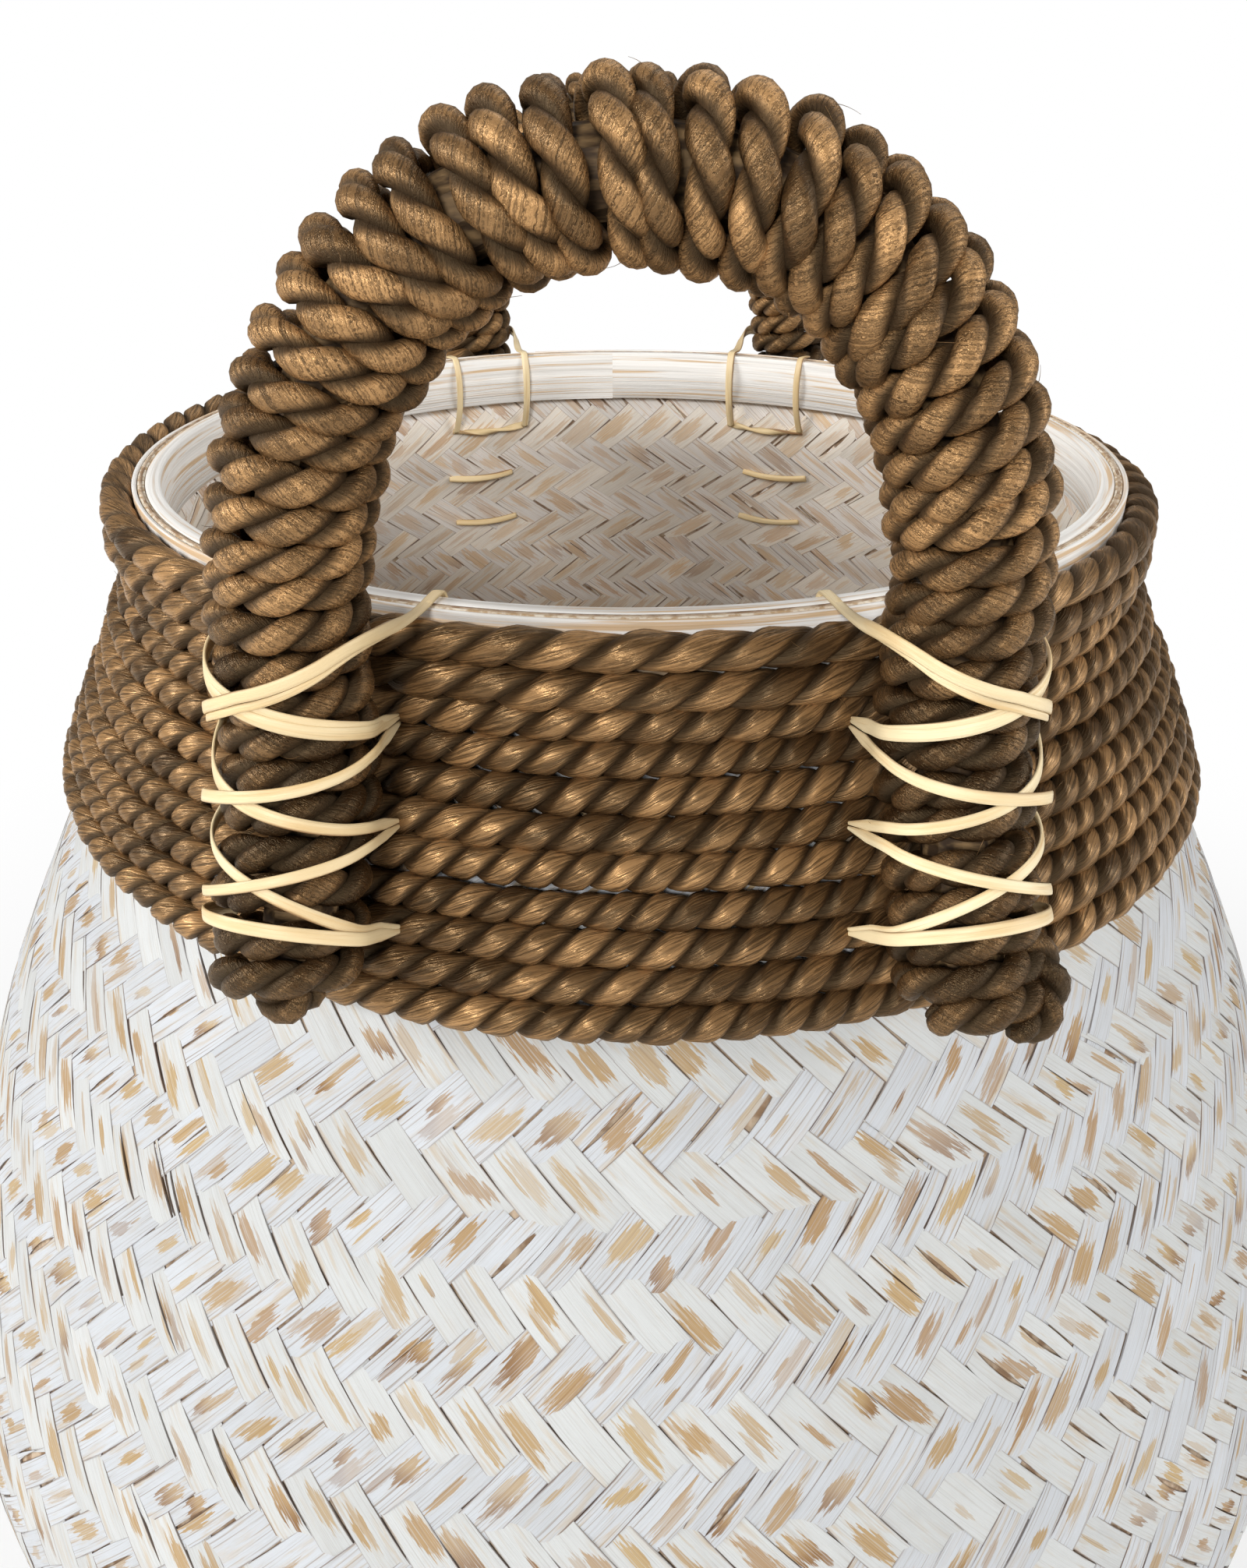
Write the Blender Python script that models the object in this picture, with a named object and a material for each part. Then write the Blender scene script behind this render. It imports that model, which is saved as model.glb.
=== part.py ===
# Belly basket: a whitewashed bamboo body, woven on the bias, with a rope bound neck
# and two rope bound carrying arches laced to it. Metres, +Z up, base on z = 0.
import math

import bmesh
import bpy
import numpy as np
from mathutils import Vector

# Woven body: outside radii, and how far below the top of the rim each one lies
body_height = 0.406
mouth_radius = 0.1385
collar_drop = 0.018
shoulder_radius = 0.1555
shoulder_drop = 0.060
flank_radius = 0.215
flank_drop = 0.182
belly_radius = 0.243
belly_drop = 0.288
base_radius = 0.160
wall_thickness = 0.0016
base_thickness = 0.0030
body_segments = 48
rows_per_span = 3
heel_rows = 6
heel_power = 2.3

# Rim hoops of split bamboo, one on each side of the wall
inner_hoop_thickness = 0.0040
inner_hoop_height = 0.0170
outer_hoop_thickness = 0.0012
outer_hoop_height = 0.0150
hoop_edge_round = 0.0004

# Rope bound round the neck, and the same rope on the handles
seat_gap = 0.0003
rope_diameter = 0.0074
rope_spacing = 0.00055
neck_turns = 11
neck_points = 24
neck_start_drop = 0.00085
neck_start_angle = math.radians(67.5)

# Carrying arches: a bent pole, bound with rope; the arch is a superellipse
core_diameter = 0.0150
leg_spacing = 0.1264
leg_length = 0.0620
foot_splay = 0.0045
splay_power = 1.5
arch_rise = 0.0815
arch_power = 2.2
neck_bend = 0.080
core_points = 44
wrap_turns_most = 24
wrap_points = 10
wrap_end_margin = 0.0005

# Rattan lacing
split_width = 0.0026
split_thickness = 0.0009
split_gap = 0.0006
lace_gap = 0.0005
lace_side_angle = math.radians(112)
lace_steps = 10
side_turn_shares = (0.35, 0.70, 1.00)
rim_strand_leans = (180, 180, 165, 120, 90, 90, 80)
inner_strand_offset = 0.0212
outer_strand_offset = 0.0053
staple_drop = 0.0270
stitch_drops = (0.0480, 0.0700)
stitch_inner_offset = 0.0152
stitch_outer_offset = 0.0093
stitch_points = 5

# Heights of the lacing on a leg, as shares of the leg below the rim
outer_far_shares = (0.210, 0.358, 0.766, 0.855)
outer_near_shares = (0.040, 0.502, 0.615)
inner_near_share = 0.285
inner_far_share = 0.580
inner_end_shares = (0.887, 0.911)

# Working values
weld_distance = 0.000001
profile_step = 0.0005
contact_step = 0.00002

rope_radius = rope_diameter / 2
core_radius = core_diameter / 2
leg_x = leg_spacing / 2
neck_pitch = rope_diameter + rope_spacing
wall_inside = mouth_radius - wall_thickness


def smooth_curve(places, values):
    """Monotone cubic curve through the values, level at both ends."""
    places = np.array(places, float)
    values = np.array(values, float)
    spans = np.diff(places)
    slopes = np.diff(values) / spans
    tangents = np.zeros(len(places))
    for i in range(1, len(places) - 1):
        if slopes[i - 1] * slopes[i] > 0:
            tangents[i] = 2 * slopes[i - 1] * slopes[i] / (slopes[i - 1] + slopes[i])

    def read(place):
        i = int(np.clip(np.searchsorted(places, place) - 1, 0, len(spans) - 1))
        t = (place - places[i]) / spans[i]
        start = values[i] * (1 + 2 * t) + tangents[i] * spans[i] * t
        end = values[i + 1] * (3 - 2 * t) - tangents[i + 1] * spans[i] * (1 - t)
        return start * (1 - t) ** 2 + end * t ** 2

    return read


# Profile of the woven wall: a curve from the rim to the belly, then a round heel
station_drops = (0, collar_drop, shoulder_drop, flank_drop, belly_drop)
station_radii = (mouth_radius, mouth_radius, shoulder_radius, flank_radius, belly_radius)
wall_curve = smooth_curve(station_drops, station_radii)
wall_drops = []
for upper, lower in zip(station_drops, station_drops[1:]):
    rows = 1 if upper == 0 else rows_per_span
    wall_drops += [upper + (lower - upper) * i / rows for i in range(rows)]
wall_radii = [wall_curve(drop) for drop in wall_drops]
for i in range(heel_rows + 1):
    turn = math.pi / 2 * i / heel_rows
    low_share = math.sin(turn) ** (2 / heel_power)
    wide_share = max(math.cos(turn), 0) ** (2 / heel_power)
    wall_drops.append(belly_drop + (body_height - belly_drop) * low_share)
    wall_radii.append(base_radius + (belly_radius - base_radius) * wide_share)


def wall_radius(drop):
    return np.interp(drop, wall_drops, wall_radii)


def seat_radius(drop):
    """Outside of what the neck rope lies on: the outer hoop, then the wall."""
    wall = wall_radius(np.clip(drop, 0, body_height))
    hooped = drop <= outer_hoop_height
    return np.where(hooped, outer_hoop_radius, wall)


def rolled_radius(drop):
    """Radius of the rope's middle where it rests on the seat at this drop."""
    reach = rope_radius + seat_gap
    near = np.arange(-reach, reach, contact_step)
    seat = seat_radius(drop + near)
    return float(np.max(seat + np.sqrt(reach ** 2 - near ** 2)))


outer_hoop_inside = mouth_radius + seat_gap
outer_hoop_radius = outer_hoop_inside + outer_hoop_thickness
inner_hoop_radius = wall_inside - seat_gap
inner_hoop_inside = inner_hoop_radius - inner_hoop_thickness

# Places that the middle of the neck rope can take on the seat
neck_drops = np.arange(neck_start_drop, belly_drop, profile_step)
neck_radii = np.array([rolled_radius(drop) for drop in neck_drops])
neck_radii = neck_radii / math.cos(math.pi / neck_points)


def wound_neck():
    """Drop and radius of each point of the neck rope, each turn a pitch from the last."""
    steps = np.hypot(np.diff(neck_drops), np.diff(neck_radii))
    lengths = np.concatenate([[0], np.cumsum(steps)])
    places = []
    for i in range(neck_turns * neck_points + 1):
        if i < neck_points:
            drop = float(np.interp(neck_pitch * i / neck_points, lengths, neck_drops))
        else:
            above, above_radius = places[i - neck_points]
            apart = np.hypot(neck_drops - above, neck_radii - above_radius)
            below = neck_drops > above
            drop = float(np.interp(neck_pitch, apart[below], neck_drops[below]))
        places.append((drop, float(np.interp(drop, neck_drops, neck_radii))))
    return places


neck_places = wound_neck()


def band_radius(drop):
    """Outside of the wound neck at this drop."""
    return np.interp(drop, neck_drops, neck_radii) + rope_radius


def raised_profile(drops, radii, reach):
    """Path of a ball's middle that rolls on the outside of the profile."""
    apart = drops[:, None] - drops[None, :]
    ball = np.sqrt(np.clip(reach ** 2 - apart ** 2, 0, None))
    return np.max(np.where(np.abs(apart) < reach, radii[None, :] + ball, -np.inf), axis=1)


def lowered_profile(drops, radii, reach):
    """Surface that a ball leaves whose middle stays outside of the profile."""
    return -raised_profile(drops, -radii, reach)


# Outside radius of a wound leg, and the distance of its middle from the basket's axis:
# it lies against the wound neck, but bends no more sharply than the pole can
wrap_path_radius = (core_radius + seat_gap + rope_radius) / math.cos(math.pi / wrap_points)
wrap_radius = wrap_path_radius + rope_radius
leg_profile_drops = np.arange(-2 * neck_bend, leg_length + 2 * neck_bend, profile_step)
leg_profile_radii = lowered_profile(
    leg_profile_drops,
    raised_profile(leg_profile_drops, band_radius(leg_profile_drops),
                   wrap_radius + seat_gap + neck_bend),
    neck_bend)


def leg_side(drop):
    """How far to the side the middle of a leg stands: the feet spread."""
    return leg_x + foot_splay * max(drop / leg_length, 0) ** splay_power


def leg_y(drop):
    """How far in front of the axis the middle of a leg stands at this drop."""
    reach = np.interp(drop, leg_profile_drops, leg_profile_radii)
    return math.sqrt(reach ** 2 - leg_side(drop) ** 2)


def handle_route():
    """Middle line of the front handle, at even steps from left foot to right foot."""
    points = []
    leg_places = np.linspace(leg_length, 0, core_points)
    for drop in leg_places[:-1]:
        points.append((-leg_side(drop), -leg_y(drop), body_height - drop))
    for angle in np.linspace(math.pi, 0, core_points * 2):
        across = math.copysign(abs(math.cos(angle)) ** (2 / arch_power), math.cos(angle))
        up = max(math.sin(angle), 0) ** (2 / arch_power)
        points.append((leg_x * across, -leg_y(0), body_height + arch_rise * up))
    for drop in leg_places[::-1][1:]:
        points.append((leg_side(drop), -leg_y(drop), body_height - drop))
    points = np.array(points)
    lengths = np.concatenate([[0], np.cumsum(np.linalg.norm(np.diff(points, axis=0), axis=1))])
    return points, lengths


route_points, route_lengths = handle_route()


def route_at(length):
    return Vector([float(np.interp(length, route_lengths, route_points[:, i])) for i in range(3)])


def route_frame(length):
    """Direction of the pole, and the direction out of the basket square to it."""
    step = core_radius
    along = (route_at(length + step) - route_at(length - step)).normalized()
    front = Vector((0, -1, 0))
    out = (front - along * front.dot(along)).normalized()
    return along, out


def make_material(name, colour, roughness):
    material = bpy.data.materials.new(name)
    material.use_nodes = True
    shader = material.node_tree.nodes["Principled BSDF"]
    shader.inputs["Base Color"].default_value = (*colour, 1)
    shader.inputs["Roughness"].default_value = roughness
    shader.inputs["Metallic"].default_value = 0
    return material


def add_mesh(name, work, material):
    mesh = bpy.data.meshes.new(name)
    work.to_mesh(mesh)
    work.free()
    mesh.shade_smooth()
    mesh.set_sharp_from_angle(angle=math.radians(40))
    mesh.materials.append(material)
    shape = bpy.data.objects.new(name, mesh)
    bpy.context.collection.objects.link(shape)
    return shape


def turned(name, outline, closed, material):
    """Turns an outline of (radius, height) points round the Z axis."""
    work = bmesh.new()
    verts = [work.verts.new((radius, 0, height)) for radius, height in outline]
    ends = verts[1:] + ([verts[0]] if closed else [])
    edges = [work.edges.new(pair) for pair in zip(verts, ends)]
    bmesh.ops.spin(work, geom=verts + edges, cent=(0, 0, 0), axis=(0, 0, 1),
                   angle=math.tau, steps=body_segments, use_merge=True)
    bmesh.ops.remove_doubles(work, verts=work.verts, dist=weld_distance)
    bmesh.ops.recalc_face_normals(work, faces=work.faces)
    return add_mesh(name, work, material)


def tube(name, points, radius, resolution, material):
    """A round bar along the points, with closed ends."""
    curve = bpy.data.curves.new(name, "CURVE")
    curve.dimensions = "3D"
    curve.bevel_depth = radius
    curve.bevel_resolution = resolution
    curve.use_fill_caps = True
    spline = curve.splines.new("POLY")
    spline.points.add(len(points) - 1)
    for place, point in zip(spline.points, points):
        place.co = (*point, 1)
    spline.use_smooth = True
    curve.materials.append(material)
    shape = bpy.data.objects.new(name, curve)
    bpy.context.collection.objects.link(shape)
    return shape


def ribbon(name, route, material):
    """A flat split swept along (point, normal) pairs by extruding its end."""
    work = bmesh.new()
    ring = []
    last = len(route) - 1
    face = None
    for i, (point, normal) in enumerate(route):
        along = (route[min(i + 1, last)][0] - route[max(i - 1, 0)][0]).normalized()
        across = along.cross(normal).normalized() * split_width / 2
        up = across.cross(along).normalized() * split_thickness / 2
        corners = [point - across - up, point + across - up,
                   point + across + up, point - across + up]
        if face is None:
            face = work.faces.new([work.verts.new(corner) for corner in corners])
            ring = list(face.verts)
            continue
        grown = bmesh.ops.extrude_face_region(work, geom=[face])["geom"]
        if i > 1:
            work.faces.remove(face)
        face = next(item for item in grown if isinstance(item, bmesh.types.BMFace))
        fresh = [next(v for v in grown if isinstance(v, bmesh.types.BMVert)
                      and (v.co - old.co).length < weld_distance) for old in ring]
        for vert, corner in zip(fresh, corners):
            vert.co = corner
        ring = fresh
    bmesh.ops.recalc_face_normals(work, faces=work.faces)
    return add_mesh(name, work, material)


def least_gap(points, diameter, skip):
    """Least clear distance between turns of one rope, measured on its points."""
    places = np.array([tuple(point) for point in points])
    apart = np.linalg.norm(places[:, None] - places[None, :], axis=2)
    index = np.arange(len(places))
    far = np.abs(index[:, None] - index[None, :]) >= skip
    return float(apart[far].min()) - diameter


def straight_ends(points):
    """Carries both ends straight on for one rope diameter."""
    first = points[0] + (points[0] - points[1]).normalized() * rope_diameter
    last = points[-1] + (points[-1] - points[-2]).normalized() * rope_diameter
    return [first] + points + [last]


def make_body(material):
    outer = [(radius, body_height - drop) for drop, radius in zip(wall_drops, wall_radii)]
    outer = outer[::-1]
    inner_drops = [drop for drop in wall_drops if drop < body_height - base_thickness]
    inner = [(wall_radius(drop) - wall_thickness, body_height - drop) for drop in inner_drops]
    floor_radius = wall_radius(body_height - base_thickness) - wall_thickness
    outline = [(0, 0)] + outer + inner + [(floor_radius, base_thickness), (0, base_thickness)]
    turned("woven_body", outline, False, material)


def make_hoop(name, inside, outside, height, material):
    top = body_height
    low = top - height
    outline = [(inside, low), (outside, low),
               (outside, top - hoop_edge_round), (outside - hoop_edge_round, top),
               (inside + hoop_edge_round, top), (inside, top - hoop_edge_round)]
    turned(name, outline, True, material)


def make_neck_rope(material):
    points = []
    for i, (drop, radius) in enumerate(neck_places):
        angle = neck_start_angle + math.tau * i / neck_points
        points.append(Vector((radius * math.cos(angle), radius * math.sin(angle),
                              body_height - drop)))
    print("neck_rope least gap to itself, mm:",
          round(least_gap(points, rope_diameter, neck_points // 2) * 1000, 3))
    tube("neck_rope", straight_ends(points), rope_radius, 1, material)


def turned_round(point, face):
    """Keeps a point of the front handle, or turns it to the rear one."""
    return Vector((point.x * face, point.y * face, point.z))


def make_handle(prefix, face, core_material, rope_material):
    places = np.linspace(0, route_lengths[-1], core_points)
    core = [turned_round(route_at(place), face) for place in places]
    tube(prefix + "_handle_core", core, core_radius, 3, core_material)

    wound = route_lengths[-1] - 2 * (rope_radius + wrap_end_margin)
    turns = min(wrap_turns_most, int(wound / neck_pitch))
    points = []
    for i in range(turns * wrap_points + 1):
        place = rope_radius + wrap_end_margin + wound * i / (turns * wrap_points)
        along, out = route_frame(place)
        side = along.cross(out)
        angle = math.tau * i / wrap_points
        spoke = out * math.cos(angle) + side * math.sin(angle)
        points.append(turned_round(route_at(place) + spoke * wrap_path_radius, face))
    print(prefix + "_handle_wrap least gap to itself, mm:",
          round(least_gap(points, rope_diameter, wrap_points // 2) * 1000, 3))
    tube(prefix + "_handle_wrap", straight_ends(points), rope_radius, 1, rope_material)


def leg_point(drop, angle, lift, side):
    """Place and normal of a split on a front leg; the angle grows away from the arch."""
    middle = Vector((side * leg_side(drop), -leg_y(drop), body_height - drop))
    slope = leg_y(drop + core_radius) - leg_y(drop - core_radius)
    spread = leg_side(drop + core_radius) - leg_side(drop - core_radius)
    along = Vector((-side * spread, slope, core_diameter)).normalized()
    front = Vector((0, -1, 0))
    out = (front - along * front.dot(along)).normalized()
    spoke = out * math.cos(angle) + along.cross(out) * side * math.sin(angle)
    reach = wrap_radius + lace_gap + split_thickness / 2 + lift
    return middle + spoke * reach, spoke


def strand(side, start, end, lift):
    """A split across the leg, from (drop, angle) to (drop, angle)."""
    found = []
    for i in range(lace_steps + 1):
        share = i / lace_steps
        drop = start[0] + (end[0] - start[0]) * share
        angle = start[1] + (end[1] - start[1]) * share
        found.append(leg_point(drop, angle, lift, side))
    return found


def side_turn(side, angle, start_drop, end_drop, lift):
    """The split turns along the side of the leg, and comes back lower or higher."""
    reach = wrap_radius + lace_gap + split_thickness / 2 + lift
    bend = (split_width + split_gap) / 2
    way = 1 if end_drop > start_drop else -1
    outward = 1 if angle > 0 else -1
    found = []
    for share in side_turn_shares:
        turn = share * math.pi / 2
        found.append((angle + outward * bend * math.sin(turn) / reach,
                      start_drop + way * bend * (1 - math.cos(turn))))
    found += [(place, end_drop - (drop - start_drop)) for place, drop in found[::-1]]
    return [leg_point(drop, place, lift, side) for place, drop in found]


def leaving_angle(target, drop, lift, side):
    """Angle on the leg at which a split leaves it straight for the target."""
    away = side * target.x - leg_side(drop)
    out = -target.y - leg_y(drop)
    reach = wrap_radius + lace_gap + split_thickness / 2 + lift
    turn = abs(math.atan2(away, out)) - math.acos(reach / math.hypot(away, out))
    return math.copysign(turn, away)


def rim_strand(side, offset, face):
    """A split from the staple up the inside of the rim, over it and over the top rope."""
    x = leg_x + offset
    rise = split_thickness / 2 + lace_gap
    bend = split_width / 2
    facet = math.cos(math.pi / body_segments)
    wall = (wall_radius(staple_drop) - wall_thickness) * facet - rise
    stops = [(wall, staple_drop - bend),
             (inner_hoop_inside * facet - rise, inner_hoop_height),
             (inner_hoop_inside * facet - rise, hoop_edge_round),
             (inner_hoop_inside * facet - rise + split_thickness, -rise),
             ((inner_hoop_radius + outer_hoop_inside) / 2, -rise)]
    angle = math.atan2(-math.sqrt(outer_hoop_radius ** 2 - x ** 2), side * x)
    behind = angle if face > 0 else angle + math.pi
    turn = ((behind - neck_start_angle) / math.tau) % 1
    rope_drop, rope_path = neck_places[round(turn * neck_points)]
    crown = min(rope_drop - rope_radius, 0) - rise
    stops.append((outer_hoop_radius, min(crown, -rise)))
    stops.append((rope_path, crown))
    found = []
    for (radius, drop), lean in zip(stops, rim_strand_leans):
        lean = math.radians(lean)
        radial = Vector((math.cos(angle), math.sin(angle), 0))
        normal = radial * math.cos(lean) + Vector((0, 0, math.sin(lean)))
        found.append((radial * radius + Vector((0, 0, body_height - drop)), normal))
    return found


def make_lacing(name, side, face, material):
    """One unbroken split: two crossing zigzags down the leg, joined over the rim."""
    outer = lace_side_angle
    inner = -lace_side_angle
    raised = split_thickness + split_gap
    back = split_width + split_gap
    far = [share * leg_length for share in outer_far_shares]
    near = [share * leg_length for share in outer_near_shares]
    near_turn = inner_near_share * leg_length
    far_turn = inner_far_share * leg_length
    near_end, far_end = [share * leg_length for share in inner_end_shares]

    climb = strand(side, (far_end, inner), (far[3], outer), raised)
    climb += side_turn(side, outer, far[3], far[2], raised)
    climb += strand(side, (far[2], outer), (far_turn + back, inner), raised)
    climb += side_turn(side, inner, far_turn + back, far_turn, raised)
    climb += strand(side, (far_turn, inner), (far[1], outer), raised)
    climb += side_turn(side, outer, far[1], far[0], raised)
    down = rim_strand(side, -inner_strand_offset, face)[::-1]
    up = rim_strand(side, outer_strand_offset, face)
    leave = leaving_angle(down[0][0], near[0], raised, side)
    climb += strand(side, (far[0], outer), (near[0], leave), raised)

    land = leaving_angle(up[-1][0], near[0], 0, side)
    fall = strand(side, (near[0], land), (near_turn, inner), 0)
    fall += side_turn(side, inner, near_turn, near_turn + back, 0)
    fall += strand(side, (near_turn + back, inner), (near[1], outer), 0)
    fall += side_turn(side, outer, near[1], near[2], 0)
    fall += strand(side, (near[2], outer), (near_end, inner), 0)

    route = climb + down + up + fall
    ribbon(name, [(turned_round(point, face), turned_round(normal, face))
                  for point, normal in route], material)


def make_stitch(name, drop, side, face, material):
    """A short flat stitch on the inside of the wall, behind a leg."""
    facet = math.cos(math.pi / body_segments)
    slope = (wall_radius(drop + split_width) - wall_radius(drop - split_width)) / (2 * split_width)
    radius = (wall_radius(drop) - wall_thickness) * facet
    route = []
    inner_x = leg_x - stitch_inner_offset
    outer_x = leg_x + stitch_outer_offset
    for x in np.linspace(inner_x, outer_x, stitch_points):
        angle = math.asin(x / radius)
        radial = Vector((side * math.sin(angle), -math.cos(angle), 0))
        normal = (-radial - Vector((0, 0, slope))).normalized()
        point = radial * radius + Vector((0, 0, body_height - drop))
        point += normal * (seat_gap + split_thickness / 2)
        route.append((turned_round(point, face), turned_round(normal, face)))
    ribbon(name, route, material)


def build():
    for thing in list(bpy.data.objects):
        bpy.data.objects.remove(thing, do_unlink=True)
    weave = make_material("whitewashed_weave", (0.74, 0.71, 0.66), 0.72)
    hoop = make_material("whitewashed_hoop", (0.80, 0.76, 0.70), 0.60)
    rope = make_material("twisted_rope", (0.17, 0.10, 0.045), 0.50)
    pole = make_material("bare_pole", (0.45, 0.29, 0.13), 0.60)
    split = make_material("rattan_split", (0.76, 0.60, 0.34), 0.50)

    make_body(weave)
    make_hoop("inner_rim_hoop", inner_hoop_inside, inner_hoop_radius, inner_hoop_height, hoop)
    make_hoop("outer_rim_hoop", outer_hoop_inside, outer_hoop_radius, outer_hoop_height, hoop)
    make_neck_rope(rope)
    for prefix, face in (("front", 1), ("rear", -1)):
        make_handle(prefix, face, pole, rope)
        for hand, side in (("left", -1), ("right", 1)):
            leg = prefix + "_" + hand
            make_lacing(leg + "_lacing", side * face, face, split)
            for place, drop in zip(("upper", "lower"), stitch_drops):
                make_stitch(leg + "_" + place + "_stitch", drop, side * face, face, split)


build()
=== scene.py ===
# Looks of the belly basket: woven bamboo strips, twisted rope and laced arch handles.
# Metres, +Z up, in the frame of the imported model.
import math

import bmesh
import bpy
import numpy as np
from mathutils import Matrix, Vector


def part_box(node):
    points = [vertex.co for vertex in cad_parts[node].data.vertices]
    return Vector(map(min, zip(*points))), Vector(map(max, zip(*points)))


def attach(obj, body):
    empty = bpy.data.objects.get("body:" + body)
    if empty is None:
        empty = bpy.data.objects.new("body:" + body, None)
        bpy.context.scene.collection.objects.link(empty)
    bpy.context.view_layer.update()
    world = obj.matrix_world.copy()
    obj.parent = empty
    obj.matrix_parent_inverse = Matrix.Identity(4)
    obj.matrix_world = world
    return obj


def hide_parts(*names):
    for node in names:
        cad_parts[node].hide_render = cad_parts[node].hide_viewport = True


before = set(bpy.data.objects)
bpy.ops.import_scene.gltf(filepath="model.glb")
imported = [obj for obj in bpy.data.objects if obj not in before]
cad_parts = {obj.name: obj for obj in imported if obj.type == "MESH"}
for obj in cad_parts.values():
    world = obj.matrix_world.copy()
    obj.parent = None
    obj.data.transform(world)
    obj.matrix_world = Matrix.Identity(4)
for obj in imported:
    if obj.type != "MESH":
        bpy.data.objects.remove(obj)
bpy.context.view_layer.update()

dice = np.random.default_rng(11)

# Camera at the photograph's place; the focal length and the frame are in its pixels
view = {
    "place": (-0.0017, -0.3725, 0.5006),
    "pitchDown": math.radians(29.65),
    "focalPixels": 1600,
    "framePixels": 2012,
    "sensor": 36,
    "nearest": 0.01,
}


def addObject(name, data):
    made = bpy.data.objects.new(name, data)
    bpy.context.collection.objects.link(made)
    return made


def makeCamera():
    lens = bpy.data.cameras.new("photoCamera")
    lens.sensor_width = view["sensor"]
    lens.lens = view["sensor"] * view["focalPixels"] / view["framePixels"]
    lens.clip_start = view["nearest"]
    camera = addObject("photoCamera", lens)
    camera.location = view["place"]
    camera.rotation_euler = (math.pi / 2 - view["pitchDown"], 0, 0)
    bpy.context.scene.camera = camera


makeCamera()
print("camera placed")

# Outside of the woven wall, as in the source of the solids
basket = {
    "height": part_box("woven_body")[1][2],
    "stationDrops": (0, 0.018, 0.060, 0.182, 0.288),
    "stationRadii": (0.1385, 0.1385, 0.1555, 0.215, 0.243),
    "baseRadius": 0.160,
    "heelPower": 2.3,
    "wallThickness": 0.0016,
    "floorThickness": 0.0030,
    "seatGap": 0.0003,
    "flankPoints": 600,
    "heelPoints": 200,
}


# Running total of the steps, from nought
def summed(steps):
    return np.concatenate([[0], np.cumsum(steps)])


def lengthsAlong(points):
    return summed(np.linalg.norm(np.diff(points, axis=0), axis=1))


# A smooth curve through stops, from the values and slopes on both sides of a place
def betweenStops(values, lean, i, span, t):
    start = values[i] * (1 + 2 * t) + lean[i] * span * t
    end = values[i + 1] * (3 - 2 * t) - lean[i + 1] * span * (1 - t)
    return start * (1 - t) ** 2 + end * t ** 2


def levelCurve(places, values, wanted):
    places, values = np.array(places, float), np.array(values, float)
    spans = np.diff(places)
    slopes = np.diff(values) / spans
    lean = np.zeros(len(places))  # level at both ends
    both = slopes[:-1] * slopes[1:] > 0
    total = np.where(both, slopes[:-1] + slopes[1:], 1)
    lean[1:-1] = np.where(both, 2 * slopes[:-1] * slopes[1:] / total, 0)
    i = np.clip(np.searchsorted(places, wanted) - 1, 0, len(spans) - 1)
    return betweenStops(values, lean, i, spans[i], (wanted - places[i]) / spans[i])


def makeWallProfile():
    bellyDrop, bellyRadius = basket["stationDrops"][-1], basket["stationRadii"][-1]
    drop = np.linspace(0, bellyDrop, basket["flankPoints"], endpoint=False)
    radius = levelCurve(basket["stationDrops"], basket["stationRadii"], drop)
    turn = np.linspace(0, math.pi / 2, basket["heelPoints"])
    power = 2 / basket["heelPower"]
    heelDepth, heelWidth = basket["height"] - bellyDrop, bellyRadius - basket["baseRadius"]
    heelDrop = bellyDrop + heelDepth * np.sin(turn) ** power
    heelRadius = basket["baseRadius"] + heelWidth * np.clip(np.cos(turn), 0, 1) ** power
    drop = np.concatenate([drop, heelDrop])
    radius = np.concatenate([radius, heelRadius])
    length = summed(np.hypot(np.diff(drop), np.diff(radius)))
    slopeOut, slopeDown = np.gradient(radius, length), np.gradient(drop, length)
    return {"drop": drop, "radius": radius, "length": length, "out": slopeOut, "down": slopeDown}


wall = makeWallProfile()


def onWall(name, length):
    return np.interp(length, wall["length"], wall[name])


def wallRadius(drop):
    return np.interp(drop, wall["drop"], wall["radius"])


def wallPlace(length, azimuth, lift):
    out, down = onWall("out", length), onWall("down", length)
    radius = onWall("radius", length) + down * lift
    height = basket["height"] - onWall("drop", length) + out * lift
    return np.stack([radius * np.sin(azimuth), -radius * np.cos(azimuth), height], axis=-1)


# Material helpers
def newMaterial(name, roughness=0.5, specular=0.5):
    material = bpy.data.materials.new(name)
    material.use_nodes = True
    shader = material.node_tree.nodes["Principled BSDF"]
    shader.inputs["Roughness"].default_value = roughness
    shader.inputs["Specular IOR Level"].default_value = specular
    return material, material.node_tree, shader


def feed(tree, socket, value):
    if isinstance(value, bpy.types.NodeSocket):
        tree.links.new(value, socket)
    else:
        socket.default_value = value


def calc(tree, operation, *values):
    maths = tree.nodes.new("ShaderNodeMath")
    maths.operation = operation
    for socket, value in zip(maths.inputs, values):
        feed(tree, socket, value)
    return maths.outputs[0]


def times(tree, first, second):
    return calc(tree, "MULTIPLY", first, second)


def less(tree, first, second):
    return calc(tree, "SUBTRACT", first, second)


# A value times a factor, plus what is added
def fitted(tree, value, factor, added):
    return calc(tree, "MULTIPLY_ADD", value, factor, added)


def combine(tree, *values):
    joined = tree.nodes.new("ShaderNodeCombineXYZ")
    for socket, value in zip(joined.inputs, values):
        feed(tree, socket, value)
    return joined.outputs[0]


def parts(tree, vector):
    split = tree.nodes.new("ShaderNodeSeparateXYZ")
    feed(tree, split.inputs[0], vector)
    return split.outputs


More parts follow.
